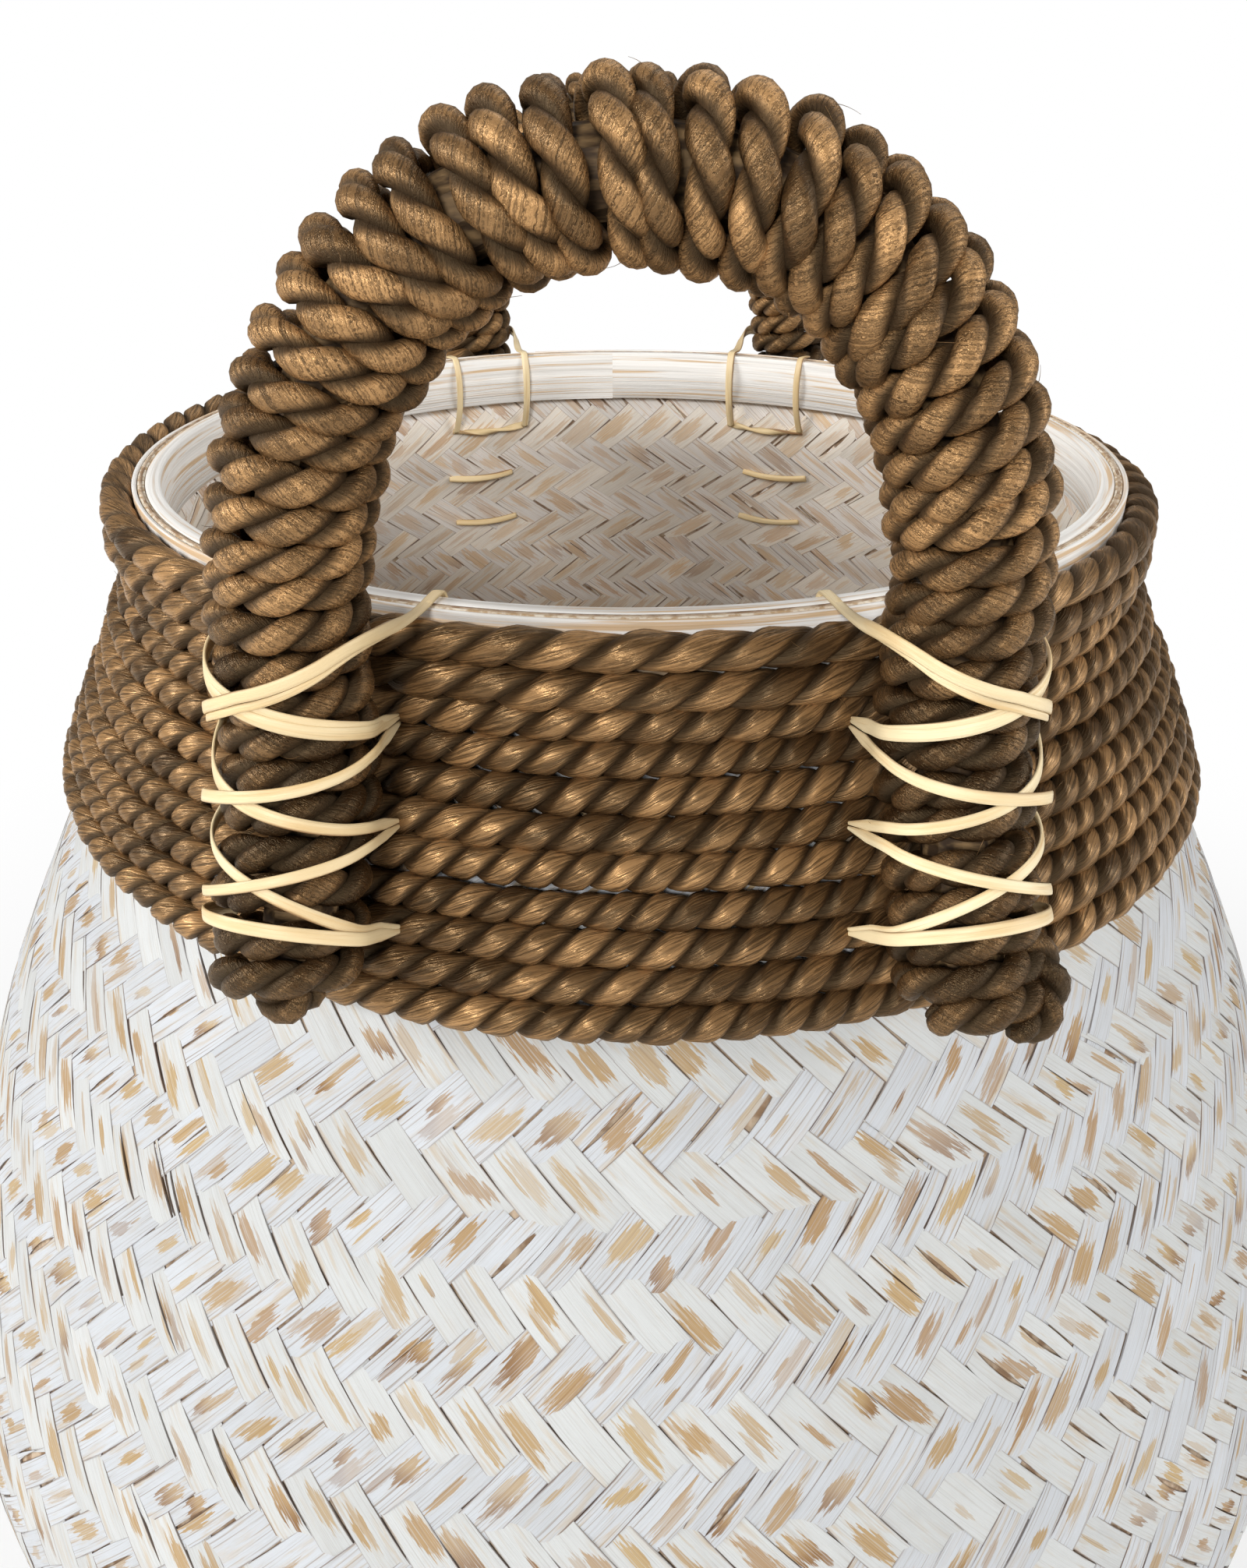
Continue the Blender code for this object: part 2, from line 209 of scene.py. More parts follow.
def stretched(tree, vector, amounts):
    scaling = tree.nodes.new("ShaderNodeVectorMath")
    scaling.operation = "MULTIPLY"
    feed(tree, scaling.inputs[0], vector)
    feed(tree, scaling.inputs[1], amounts)
    return scaling.outputs[0]


def noise(tree, vector, scale=1.0, detail=2.0, roughness=0.5):
    texture = tree.nodes.new("ShaderNodeTexNoise")
    feed(tree, texture.inputs["Vector"], vector)
    texture.inputs["Scale"].default_value = scale
    texture.inputs["Detail"].default_value = detail
    texture.inputs["Roughness"].default_value = roughness
    return texture.outputs["Fac"]


# Three numbers drawn by lot for a strip
def lots(tree, seed, shift):
    texture = tree.nodes.new("ShaderNodeTexWhiteNoise")
    texture.noise_dimensions = "1D"
    feed(tree, texture.inputs["W"], calc(tree, "ADD", seed, shift))
    return parts(tree, texture.outputs["Color"])


def ramp(tree, value, low, high):
    ranged = tree.nodes.new("ShaderNodeMapRange")
    ranged.interpolation_type = "SMOOTHSTEP"
    feed(tree, ranged.inputs["Value"], value)
    feed(tree, ranged.inputs["From Min"], low)
    feed(tree, ranged.inputs["From Max"], high)
    return ranged.outputs["Result"]


def mixed(tree, share, first, second, blend="MIX"):
    mix = tree.nodes.new("ShaderNodeMix")
    mix.data_type = "RGBA"
    mix.blend_type = blend
    feed(tree, mix.inputs["Factor"], share)
    colours = [socket for socket in mix.inputs if socket.type == "RGBA"]
    for socket, value in zip(colours, (first, second)):
        feed(tree, socket, (*value, 1) if isinstance(value, tuple) else value)
    return next(socket for socket in mix.outputs if socket.type == "RGBA")


def attribute(tree, name, output):
    reader = tree.nodes.new("ShaderNodeAttribute")
    reader.attribute_name = name
    return reader.outputs[output]


def bumped(tree, shader, height, distance, strength=1.0):
    bump = tree.nodes.new("ShaderNodeBump")
    bump.inputs["Strength"].default_value = strength
    bump.inputs["Distance"].default_value = distance
    feed(tree, bump.inputs["Height"], height)
    feed(tree, shader.inputs["Normal"], bump.outputs[0])


def makeGroup(name, inputs, outputs):
    group = bpy.data.node_groups.new(name, "ShaderNodeTree")
    for label, kind in inputs:
        group.interface.new_socket(name=label, in_out="INPUT", socket_type="NodeSocket" + kind)
    for label, kind in outputs:
        group.interface.new_socket(name=label, in_out="OUTPUT", socket_type="NodeSocket" + kind)
    return group, group.nodes.new("NodeGroupInput"), group.nodes.new("NodeGroupOutput")


def useGroup(tree, group, **values):
    node = tree.nodes.new("ShaderNodeGroup")
    node.node_tree = group
    for label, value in values.items():
        feed(tree, node.inputs[label], value)
    return node.outputs


# Fine lines along a fibre, from the piece's own grain: x along, y and z across, in metres
def makeFibreGroup():
    group, into, out = makeGroup(
        "fibreLines", [("Grain", "Vector"), ("Along", "Float"), ("Across", "Float")], [("Line", "Float")])
    along, across = into.outputs["Along"], into.outputs["Across"]
    grain = stretched(group, into.outputs["Grain"], combine(group, along, across, across))
    feed(group, out.inputs["Line"], noise(group, grain, 1, 3, 0.6))
    return group


# Its lines at two scales, along and across, in noise cells to a metre
def fibreLine(tree, grain, scales):
    along, across = scales
    return useGroup(tree, fibreGroup, Grain=grain, Along=along, Across=across)["Line"]


# The strip's own number, kept in the third part of its grain
def stripSeed(tree, grain):
    return calc(tree, "ROUND", times(tree, parts(tree, grain)[2], 100.0))


# A mottled or lined mix of a dark and a light colour, on the piece's own place
def makeGrainedMaterial(name, finish):
    material, tree, shader = newMaterial(name, finish["roughness"], finish["specular"])
    place = tree.nodes.new("ShaderNodeTexCoord").outputs["Object"]
    lines = noise(tree, stretched(tree, place, finish["grain"]), 1, 3, finish["rough"])
    colour = mixed(tree, ramp(tree, lines, *finish["edge"]), finish["dark"], finish["light"])
    feed(tree, shader.inputs["Base Color"], colour)
    bumped(tree, shader, lines, finish["relief"])
    return material


# One place on a strip where the white wash has worn off, ragged at its ends as by a brush
wornPatch = {
    # spread and least share of the length and width that are asked for
    "lengths": (0.9, 0.55),
    "widths": (1.1, 0.45),
    "strayAlong": 0.0075,
    "strayAcross": 0.0052,
    "slant": 1.2,
    "brushLines": 1050.0,
    "brush": (2.4, -0.2),
    "tornGrain": (85, 1050, 100),
    "torn": 4.6,
    "endPower": 1.6,
    "sidePower": 4.0,
    "edge": (0.62, 0.86),
    "secondLot": 0.4,
}


def makePatchGroup():
    labels = ("Shift", "Share", "Length", "Width")
    group, into, out = makeGroup("wornPatch", [("Grain", "Vector")] + [(label, "Float") for label in labels],
                                 [(label, "Float") for label in ("Patch", "Dark End", "Lot")])
    shift, share, length, width = (into.outputs[label] for label in labels)
    along, across = parts(group, into.outputs["Grain"])[:2]
    seed = stripSeed(group, into.outputs["Grain"])
    first = lots(group, seed, shift)
    second = lots(group, seed, calc(group, "ADD", shift, wornPatch["secondLot"]))
    length = times(group, length, fitted(group, first[0], *wornPatch["lengths"]))
    width = times(group, width, fitted(group, second[0], *wornPatch["widths"]))
    middle = times(group, less(group, first[1], 0.5), wornPatch["strayAlong"])
    aside = times(group, less(group, second[1], 0.5), wornPatch["strayAcross"])
    slant = times(group, across, fitted(group, first[2], 2 * wornPatch["slant"], -wornPatch["slant"]))
    brushed = combine(group, times(group, across, wornPatch["brushLines"]), seed, 0.0)
    length = times(group, length, fitted(group, noise(group, brushed, 1, 3, 0.75), *wornPatch["brush"]))
    away = calc(group, "DIVIDE", less(group, less(group, along, middle), slant), length)
    far = calc(group, "POWER", calc(group, "ABSOLUTE", away), wornPatch["endPower"])
    beside = calc(group, "ABSOLUTE", calc(group, "DIVIDE", less(group, across, aside), width))
    reach = calc(group, "ADD", far, calc(group, "POWER", beside, wornPatch["sidePower"]))
    torn = noise(group, stretched(group, into.outputs["Grain"], wornPatch["tornGrain"]), 1, 3, 0.7)
    reach = fitted(group, less(group, torn, 0.5), wornPatch["torn"], reach)
    patch = less(group, 1.0, ramp(group, reach, *wornPatch["edge"]))
    there = calc(group, "LESS_THAN", second[2], share)
    feed(group, out.inputs["Patch"], times(group, patch, there))
    feed(group, out.inputs["Dark End"], fitted(group, away, 0.5, 0.5))
    feed(group, out.inputs["Lot"], first[2])
    return group


fibreGroup = makeFibreGroup()
patchGroup = makePatchGroup()

# Finish of the weaving strips: a white wash over bamboo, skin side and pith side
stripFinish = {
    "skinWash": (0.815, 0.800, 0.760),
    "pithWash": (0.790, 0.790, 0.795),
    "shadedWash": (0.660, 0.632, 0.590),
    "line": (0.360, 0.255, 0.165),
    "tan": (0.680, 0.470, 0.225),
    "paleTan": (0.720, 0.540, 0.340),
    "pinkTan": (0.520, 0.310, 0.145),
    "brown": (0.300, 0.135, 0.038),
    # edge: a thin dark line along a strip's edges, partly its unwashed cut edge and partly painted shadow
    # from the gap beside it
    "edge": (0.200, 0.118, 0.080),
    "roughness": 0.60,
    "specular": 0.35,
    "relief": 0.0003,
    "ownLot": 0.7,
    # fibre lines: along and across
    "fine": (28.0, 2300.0),
    "broad": (55.0, 620.0),
    "scratch": (14.0, 1500.0),
    "cloud": (90, 210, 100),
    # how strongly each effect shows; a pair is what a strip's lot or side adds, and the least
    "cloudDepth": 0.30,
    "scratchDepth": (0.45, 0.18),
    "fineDepth": 0.22,
    "streakDepth": (0.65, 0.10),
    "burntShare": (0.18, 0.10),
    "burntDepth": 0.8,
    "bareLines": 0.40,
    "wornSpread": 0.35,
    "washLeft": 0.50,
    "edgeDepth": (0.60, 0.30),
    "raggedEdge": 0.10,
    # worn patches: shift of the lot, share, length, width and strength
    "patches": (
        (0.0, 1.0, 0.0060, 0.0022, 1.00),
        (0.2, 0.8, 0.0050, 0.0007, 0.85),
        (0.5, 0.7, 0.0065, 0.0013, 0.60),
    ),
}
# each side's tint holds painted light and shade: the inside copy of the wash is painted much lighter, and the
# outside copy darker
stripSides = {
    "outside": {"tintAndPaintedLight": (0.650, 0.673, 0.698), "toneSpread": 0.14, "patchShare": 0.66,
                "patchStrength": 0.78, "patchStretch": 1.0},
    "inside": {"tintAndPaintedLight": (1.14, 1.08, 1.01), "toneSpread": 0.26, "patchShare": 0.95,
               "patchStrength": 0.36, "patchStretch": 1.4},
}


def makeStripMaterial(name, tintAndPaintedLight, toneSpread, patchShare, patchStrength, patchStretch):
    finish = stripFinish
    material, tree, shader = newMaterial(name, finish["roughness"], finish["specular"])
    grain = attribute(tree, "grain", "Vector")
    tone, side, across = parts(tree, attribute(tree, "strip", "Color"))
    lot = lots(tree, stripSeed(tree, grain), finish["ownLot"])
    fine, broad, scratch = (fibreLine(tree, grain, finish[kind]) for kind in ("fine", "broad", "scratch"))

    wash = mixed(tree, side, finish["skinWash"], finish["pithWash"])
    cloudy = ramp(tree, noise(tree, stretched(tree, grain, finish["cloud"]), 1, 3), 0.42, 0.75)
    wash = mixed(tree, times(tree, cloudy, finish["cloudDepth"]), wash, finish["shadedWash"])
    lines = times(tree, ramp(tree, scratch, 0.54, 0.64), fitted(tree, side, *finish["scratchDepth"]))
    wash = mixed(tree, lines, wash, finish["line"])
    wash = mixed(tree, times(tree, ramp(tree, fine, 0.50, 0.74), finish["fineDepth"]), wash, finish["line"])
    streaks = times(tree, ramp(tree, broad, 0.50, 0.70), fitted(tree, lot[0], *finish["streakDepth"]))
    wash = mixed(tree, streaks, wash, finish["paleTan"])

    patches = []
    worn = 0.0
    for shift, share, length, width, strength in finish["patches"]:
        patch = useGroup(tree, patchGroup, Grain=grain, Shift=shift, Share=patchShare * share,
                         Length=length * patchStretch, Width=width)
        worn = calc(tree, "MAXIMUM", worn, times(tree, patch["Patch"], strength))
        patches.append(patch)
    bare = mixed(tree, patches[0]["Lot"], finish["tan"], finish["pinkTan"])
    burnt = calc(tree, "LESS_THAN", lot[1], fitted(tree, side, *finish["burntShare"]))
    burntEnd = times(tree, ramp(tree, patches[0]["Dark End"], 0.25, 0.85), finish["burntDepth"])
    bare = mixed(tree, times(tree, burnt, burntEnd), bare, finish["brown"])
    lines = times(tree, ramp(tree, scratch, 0.50, 0.68), finish["bareLines"])
    bare = mixed(tree, lines, bare, finish["brown"])
    worn = times(tree, worn, fitted(tree, lot[2], finish["wornSpread"], patchStrength))
    worn = times(tree, worn, fitted(tree, ramp(tree, fine, 0.50, 0.62), -finish["washLeft"], 1.0))
    colour = mixed(tree, worn, wash, bare)

    # a dark line along each edge of a strip: its cut edge, with painted shadow from the gap to the next strip
    fromMiddle = calc(tree, "ABSOLUTE", less(tree, across, 0.5))
    ragged = fitted(tree, less(tree, broad, 0.5), finish["raggedEdge"], fromMiddle)
    edge = times(tree, ramp(tree, ragged, 0.468, 0.496), fitted(tree, lot[0], *finish["edgeDepth"]))
    colour = mixed(tree, edge, colour, finish["edge"])
    # painted light and shade: the colour is scaled by the side's tint, lighter inside than outside
    level = fitted(tree, tone, toneSpread, 1.0 - toneSpread * 0.6)
    tint = combine(tree, *[times(tree, level, part) for part in tintAndPaintedLight])
    feed(tree, shader.inputs["Base Color"], mixed(tree, 1.0, colour, tint, "MULTIPLY"))
    bumped(tree, shader, fitted(tree, fine, 0.9, broad), finish["relief"], 0.6)
    return material


# Bands of floats: two strips over, two under, in level rows that lean one way and the other
weave = {
    "bandDrops": (0.0, 0.10, 0.150, 0.185, 0.290, 0.406),
    "bandHeights": (0.0133, 0.0135, 0.0140, 0.0158, 0.0158, 0.0125),
    "neckStrips": 60,
    "shoulderStrips": 86,
    "bodyStrips": 108,
    "neckEnd": 0.086,
    "shoulderEnd": 0.118,
    "reach": 1.30,
    "relief": 0.00019,
    "crown": 0.00002,
    "insideRelief": 0.4,
    "thickness": 0.00045,
    "widthShare": 0.982,
    "widthSpread": 0.045,
    "widthJitter": 0.03,
    "bowJitter": 0.012,
    "skew": 0.040,
    "shift": 0.10,
    "rock": 0.00011,
    "bow": 0.09,
    "splitShare": 0.12,
    "splitPlace": (0.34, 0.62),
    "splitWidth": 0.96,
    "sliverShare": 0.07,
    "sliverWidth": (0.12, 0.22),
    "sliverTaper": 0.75,
    # where a strip starts to dive under the next ones, and over how much of its half length
    "divesAt": 0.70,
    "dive": 0.55,
    "outsideTop": 0.012,
    "insideTop": 0.010,
    "floorCell": 0.0130,
    "alongSteps": 6,
    "acrossSteps": 3,
    "mostFloats": 1700,
    "copyApart": 10,
    "sharpAngle": math.radians(40),
}

bandHeightThere = np.interp(wall["drop"], weave["bandDrops"], weave["bandHeights"])
stepsFine = summed(np.diff(wall["length"]) * 2 / bandHeightThere[:-1])


def lengthAtStep(step):
    return np.interp(step, stepsFine, wall["length"])


def stripsAt(drop):
    if drop < weave["neckEnd"]:
        return weave["neckStrips"]
    return weave["shoulderStrips"] if drop < weave["shoulderEnd"] else weave["bodyStrips"]


stripCount = weave["bodyStrips"]
stripTone = dice.random((2, stripCount))
stripWidth = weave["widthShare"] + weave["widthSpread"] * (dice.random((2, stripCount)) * 2 - 1)
stripSplit = dice.random((2, stripCount)) < weave["splitShare"]


def eased(t):
    return t * t * (3 - 2 * t)


def swing(amount):
    return dice.uniform(-amount, amount)


def bandRows(firstStep, lastStep, inside):
    rows = []
    for band in range(int(firstStep // 4) - 1, int(lastStep // 4) + 2):
        for middle, lean in ((4 * band + 0.5, -1), (4 * band + 2.5, 1)):
            if firstStep <= middle <= lastStep:
                rows.append((middle, -lean if inside else lean))
    return rows


# One strip where it lies on top; each of its pieces has an offset, a width, a taper and a bow
def addFloat(table, middle, column, lean, index, count):
    family = 0 if lean > 0 else 1
    index = index % stripCount
    width = stripWidth[family, index] + swing(weave["widthJitter"])
    pieces = [(0.0, width, 0.0, swing(weave["bowJitter"]))]
    if stripSplit[family, index]:  # parted along its length
        cut = dice.uniform(*weave["splitPlace"])
        bow = dice.uniform(0.0, weave["bow"])
        pieces = [((cut - 1) / 2 * width, cut * width * weave["splitWidth"], 0.0, -bow),
                  (cut / 2 * width, (1 - cut) * width * weave["splitWidth"], 0.0, bow * 0.5)]
    elif dice.random() < weave["sliverShare"]:  # a sliver stands off along one edge
        thin, edge = dice.uniform(*weave["sliverWidth"]), dice.choice((-1, 1))
        taper = swing(weave["sliverTaper"])
        bow = edge * dice.uniform(0.0, weave["bow"])
        pieces = [(-edge * thin * 0.62, width - thin * 1.25, 0.0, 0.0),
                  (edge * (width - thin) / 2, thin, taper, bow)]
    tone = (stripTone[family, index] + dice.random()) / 2
    shift = swing(weave["shift"])
    for offset, share, taper, bow in pieces:
        seed = dice.integers(0, 1000) * 0.01
        table.append((middle + shift, column + lean * shift, lean, count, offset, share, taper, bow, tone,
                      family, seed, swing(weave["skew"]), swing(weave["rock"])))


def wallFloats(topDrop, inside):
    first = np.interp(topDrop, wall["drop"], stepsFine)
    table = []
    for middle, lean in bandRows(first, stepsFine[-1] - 0.4, inside):
        count = stripsAt(np.interp(lengthAtStep(middle), wall["length"], wall["drop"]))
        for index in range(count):
            addFloat(table, middle, 2 * index + lean * middle, lean, index, count)
    return table


def floorFloats(radius, inside):
    half = radius / (weave["floorCell"] / 2)
    table = []
    for middle, lean in bandRows(-half, half, inside):
        chord = math.sqrt(max(half ** 2 - middle ** 2, 0)) - 0.6
        for index in range(-int(half), int(half) + 1):
            column = 2 * index + lean * middle
            if abs(column) < chord:
                addFloat(table, middle, column, lean, index, 0)
    return table


def intoMesh(work, mesh):
    work.to_mesh(mesh)
    work.free()
    return mesh


def stripCopies(count):
    work = bmesh.new()
    bmesh.ops.create_grid(work, x_segments=weave["alongSteps"], y_segments=weave["acrossSteps"], size=0.5)
    bmesh.ops.solidify(work, geom=work.faces[:], thickness=1)
    bmesh.ops.recalc_face_normals(work, faces=work.faces)
    one = addObject("oneStrip", intoMesh(work, bpy.data.meshes.new("oneStrip")))
    copies = one.modifiers.new("copies", "ARRAY")
    copies.count = count
    copies.use_relative_offset = False
    copies.use_constant_offset = True
    copies.constant_offset_displace = (0, 0, weave["copyApart"])
    graph = bpy.context.evaluated_depsgraph_get()
    made = bpy.data.meshes.new_from_object(one.evaluated_get(graph))
    bpy.data.objects.remove(one, do_unlink=True)
    return made


def readPlaces(mesh):
    places = np.empty(len(mesh.vertices) * 3)
    mesh.vertices.foreach_get("co", places)
    return places.reshape(-1, 3)


def writeAttribute(mesh, name, kind, values):
    layer = mesh.attributes.new(name, kind, "POINT")
    field = "color" if kind == "FLOAT_COLOR" else "vector"
    layer.data.foreach_set(field, values.astype(np.float32).ravel())


def placePiece(name, mesh, material, slot, *nodes):
    mesh.name = name
    mesh.materials.clear()
    mesh.materials.append(material)
    mesh.shade_smooth()
    piece = addObject(name, mesh)
    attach(piece, "root")
    if nodes:
        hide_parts(*nodes)
    return piece


def weavePiece(name, table, material, inside, flatHeight=None):
    mesh = stripCopies(len(table))
    places = readPlaces(mesh)
    apart = weave["copyApart"]
    copy = np.floor((places[:, 2] + apart / 2) / apart).astype(int)
    rows = np.array(table)[copy]
    middle, column, lean, count, offset, share, taper, bow, tone, family, seed, skew, rock = rows.T
    along = places[:, 0] * 2 * weave["reach"]
    across = places[:, 1]
    deep = np.abs(places[:, 2] - apart * copy)
    narrowed = share * (1 - np.abs(taper) + taper * places[:, 0] * 2)
    sideways = offset + across * narrowed + skew * along + bow * (1 - 2 * (2 * places[:, 0]) ** 2)
    step = middle + along
    if flatHeight is None:
        length = lengthAtStep(np.clip(step, 0, stepsFine[-1]))
        radius = onWall("radius", length)
        wide = math.tau * radius / count
        high = np.interp(onWall("drop", length), weave["bandDrops"], weave["bandHeights"])
    else:
        wide = high = np.full(len(rows), weave["floorCell"])
    cell = np.hypot(wide, high)
    spacing = wide * high / cell
    shiftOut = sideways * spacing * high / cell
    shiftDown = -lean * sideways * spacing * wide / cell
    under = np.clip((np.abs(along) - weave["divesAt"]) / weave["dive"], 0, 1)
    over = 1 - 2 * eased(under)
    lift = weave["relief"] * over + weave["crown"] * (1 - (2 * across) ** 2)
    lift = (lift + rock * (0.4 + 2 * across)) * (weave["insideRelief"] if inside else 1)
    lift = lift - weave["thickness"] * deep
    if flatHeight is None:
        turn = (column + lean * along) * math.pi / count + shiftOut / radius
        depth = -(basket["wallThickness"] + lift) if inside else lift
        spot = wallPlace(np.clip(length + shiftDown, 0, wall["length"][-1]), turn, depth)
    else:
        height = flatHeight + lift if inside else flatHeight - lift
        right = (column + lean * along) * wide / 2 + shiftOut
        spot = np.stack([right, -step * high / 2 - shiftDown, height], axis=-1)
    mesh.vertices.foreach_set("co", spot.astype(np.float32).ravel())
    grain = np.stack([along * cell / 2, sideways * spacing, seed], axis=-1)
    writeAttribute(mesh, "grain", "FLOAT_VECTOR", grain)
    paint = np.stack([tone, family, across + 0.5, np.ones(len(tone))], axis=-1)
    writeAttribute(mesh, "strip", "FLOAT_COLOR", paint)
    work = bmesh.new()
    work.from_mesh(mesh)
    bmesh.ops.recalc_face_normals(work, faces=work.faces)
    piece = placePiece(name, intoMesh(work, mesh), material, "whitewashed_weave", "woven_body")
    piece.data.set_sharp_from_angle(angle=weave["sharpAngle"])
    return piece


def makeWeave():
    outsideStrips = makeStripMaterial("whitewashedBamboo", **stripSides["outside"])
    insideStrips = makeStripMaterial("whitewashedBambooInside", **stripSides["inside"])
    for label, top, inside, material in (("outsideWeave", weave["outsideTop"], False, outsideStrips),
                                         ("insideWeave", weave["insideTop"], True, insideStrips)):
        table = wallFloats(top, inside)
        groups = math.ceil(len(table) / weave["mostFloats"])
        size = math.ceil(len(table) / groups)
        for part in range(groups):
            weavePiece(f"{label}{part + 1}", table[part * size:(part + 1) * size], material, inside)
        print(label, len(table), "strips on top")
    bottom = weave["relief"] + weave["crown"] + weave["rock"] * 1.4
    radius = basket["baseRadius"] - 0.001
    weavePiece("outsideFloorWeave", floorFloats(radius, False), outsideStrips, False, bottom)
    weavePiece("insideFloorWeave", floorFloats(radius, True), insideStrips, True, basket["floorThickness"])


def spunPiece(name, outline, closed, steps, material):
    work = bmesh.new()
    verts = [work.verts.new((0, -radius, height)) for radius, height in outline]
    ends = verts[1:] + verts[:1] if closed else verts[1:]
    edges = [work.edges.new(pair) for pair in zip(verts, ends)]
    bmesh.ops.spin(work, geom=verts + edges, cent=(0, 0, 0), axis=(0, 0, 1), angle=math.tau,
                   steps=steps, use_merge=True)
    bmesh.ops.remove_doubles(work, verts=work.verts, dist=0.000001)
    bmesh.ops.recalc_face_normals(work, faces=work.faces)
    mesh = intoMesh(work, bpy.data.meshes.new(name))
    return placePiece(name, mesh, material, "whitewashed_weave", "woven_body")


# Bamboo seen between the strips, in the middle of the wall, and the wall's cut edge at the rim
core = {
    "outside": 0.00045,
    "inside": 0.00115,
    "rows": 60,
    "steps": 96,
    "lowest": 0.0008,
    "edgeDrop": 0.0002,
    "edgeDepth": 0.0160,
    "edgeSteps": 192,
    "edgeProud": 0.0001,
    "edgeRound": 0.0002,
}
coreFinish = {
    "dark": (0.280, 0.180, 0.110),
    "light": (0.520, 0.410, 0.300),
    "grain": (260, 260, 260),
    "rough": 0.5,
    "edge": (0.35, 0.65),
    "relief": 0.0004,
    "roughness": 0.85,
    "specular": 0.1,
}
cutFinish = {
    "dark": (0.480, 0.330, 0.190),
    "light": (0.760, 0.680, 0.560),
    "grain": (420, 420, 420),
    "rough": 0.6,
    "edge": (0.38, 0.62),
    "relief": 0.0005,
    "roughness": 0.75,
    "specular": 0.2,
}


def makeWallCore():
    low = core["lowest"]
    lengths = np.linspace(wall["length"][-1], 0, core["rows"])
    outline = [(0, low)]
    outline += [(-y, max(z, low)) for x, y, z in wallPlace(lengths, 0.0, -core["outside"])]
    outline += [(-y, max(z, low)) for x, y, z in wallPlace(lengths[::-1], 0.0, -core["inside"])]
    outline += [(0, basket["floorThickness"] - low)]
    spunPiece("wallCore", outline, False, core["steps"], makeGrainedMaterial("shadedBamboo", coreFinish))

    outer = basket["stationRadii"][0] + core["edgeProud"]
    inner = basket["stationRadii"][0] - basket["wallThickness"] - core["edgeProud"]
    top, bottom = basket["height"] - core["edgeDrop"], basket["height"] - core["edgeDepth"]
    off = core["edgeRound"]
    outline = [(inner, bottom), (outer, bottom), (outer, top - off), (outer - off, top),
               (inner + off, top), (inner, top - off)]
    spunPiece("wallEdge", outline, True, core["edgeSteps"], makeGrainedMaterial("cutBambooEdge", cutFinish))


makeWeave()
makeWallCore()
print("weave made")


# A bar of any section swept along rings; each ring has a middle and two axes
def sweptMesh(name, middles, firstAxes, secondAxes, sections, grain, paint):
    rings, sides = len(middles), sections.shape[1]
    work = bmesh.new()
    bmesh.ops.create_grid(work, x_segments=rings - 1, y_segments=sides, size=0.5)
    mesh = intoMesh(work, bpy.data.meshes.new(name))
    places = readPlaces(mesh)
    ring = np.rint((places[:, 0] + 0.5) * (rings - 1)).astype(int)
    side = np.rint((places[:, 1] + 0.5) * sides).astype(int)
    seam = (side == 0) | (side == sides)
    side = side % sides
    spot = (middles[ring] + firstAxes[ring] * sections[ring, side, 0, None]
            + secondAxes[ring] * sections[ring, side, 1, None])
    mesh.vertices.foreach_set("co", spot.astype(np.float32).ravel())
    writeAttribute(mesh, "grain", "FLOAT_VECTOR", grain[ring, side])
    writeAttribute(mesh, "strip", "FLOAT_COLOR", paint[ring, side])
    work = bmesh.new()
    work.from_mesh(mesh)
    work.verts.ensure_lookup_table()
    closing = [work.verts[i] for i in np.nonzero(seam)[0]]
    bmesh.ops.remove_doubles(work, verts=closing, dist=0.0000001)
    bmesh.ops.holes_fill(work, edges=[edge for edge in work.edges if edge.is_boundary], sides=0)
    bmesh.ops.recalc_face_normals(work, faces=work.faces)
    return intoMesh(work, mesh)


def joinMeshes(name, meshes):
    work = bmesh.new()
    for mesh in meshes:
        work.from_mesh(mesh)
    joined = intoMesh(work, bpy.data.meshes.new(name))
    for mesh in meshes:
        bpy.data.meshes.remove(mesh)
    return joined


def slowNoise(lengths, spacing, amount):
    stops = np.arange(lengths[0] - spacing, lengths[-1] + 2 * spacing, spacing)
    values = dice.uniform(-amount, amount, len(stops))
    i = np.clip(((lengths - stops[0]) / spacing).astype(int), 0, len(stops) - 2)
    t = eased((lengths - stops[i]) / spacing)
    return values[i] * (1 - t) + values[i + 1] * t


def unit(vectors):
    return vectors / np.linalg.norm(vectors, axis=-1, keepdims=True)


def spread(lengths, values, at):
    return np.stack([np.interp(at, lengths, values[:, i]) for i in range(3)], axis=-1)


def softened(lengths, values, at):
    lean = np.gradient(values, lengths, axis=0)
    i = np.clip(np.searchsorted(lengths, at) - 1, 0, len(lengths) - 2)
    span = (lengths[i + 1] - lengths[i])[:, None]
    return betweenStops(values, lean, i, span, (at - lengths[i])[:, None] / span)


# Two strands twisted together, left handed, along a path with an outward direction
rope = {
    "radius": 0.0037,
    "ringStep": 0.0015,
    "sides": 12,
    "endTaper": 0.004,
    "endSize": 0.40,
    "bulge": 0.10,
    # slow changes along a rope: spacing and amount
    "layWander": (0.05, 0.0016),
    "turnWander": (0.04, 0.16),
    "lumps": (0.011, 0.06),
    "swellings": (0.06, 0.07),
    "toneWander": (0.025, 0.45),
    # where a strand's crown begins, from its sides, and over how much it grows; the rope's colour has painted
    # light on the crown and painted shade on the sides
    "crownFrom": 0.10,
    "crownSpan": 0.55,
}


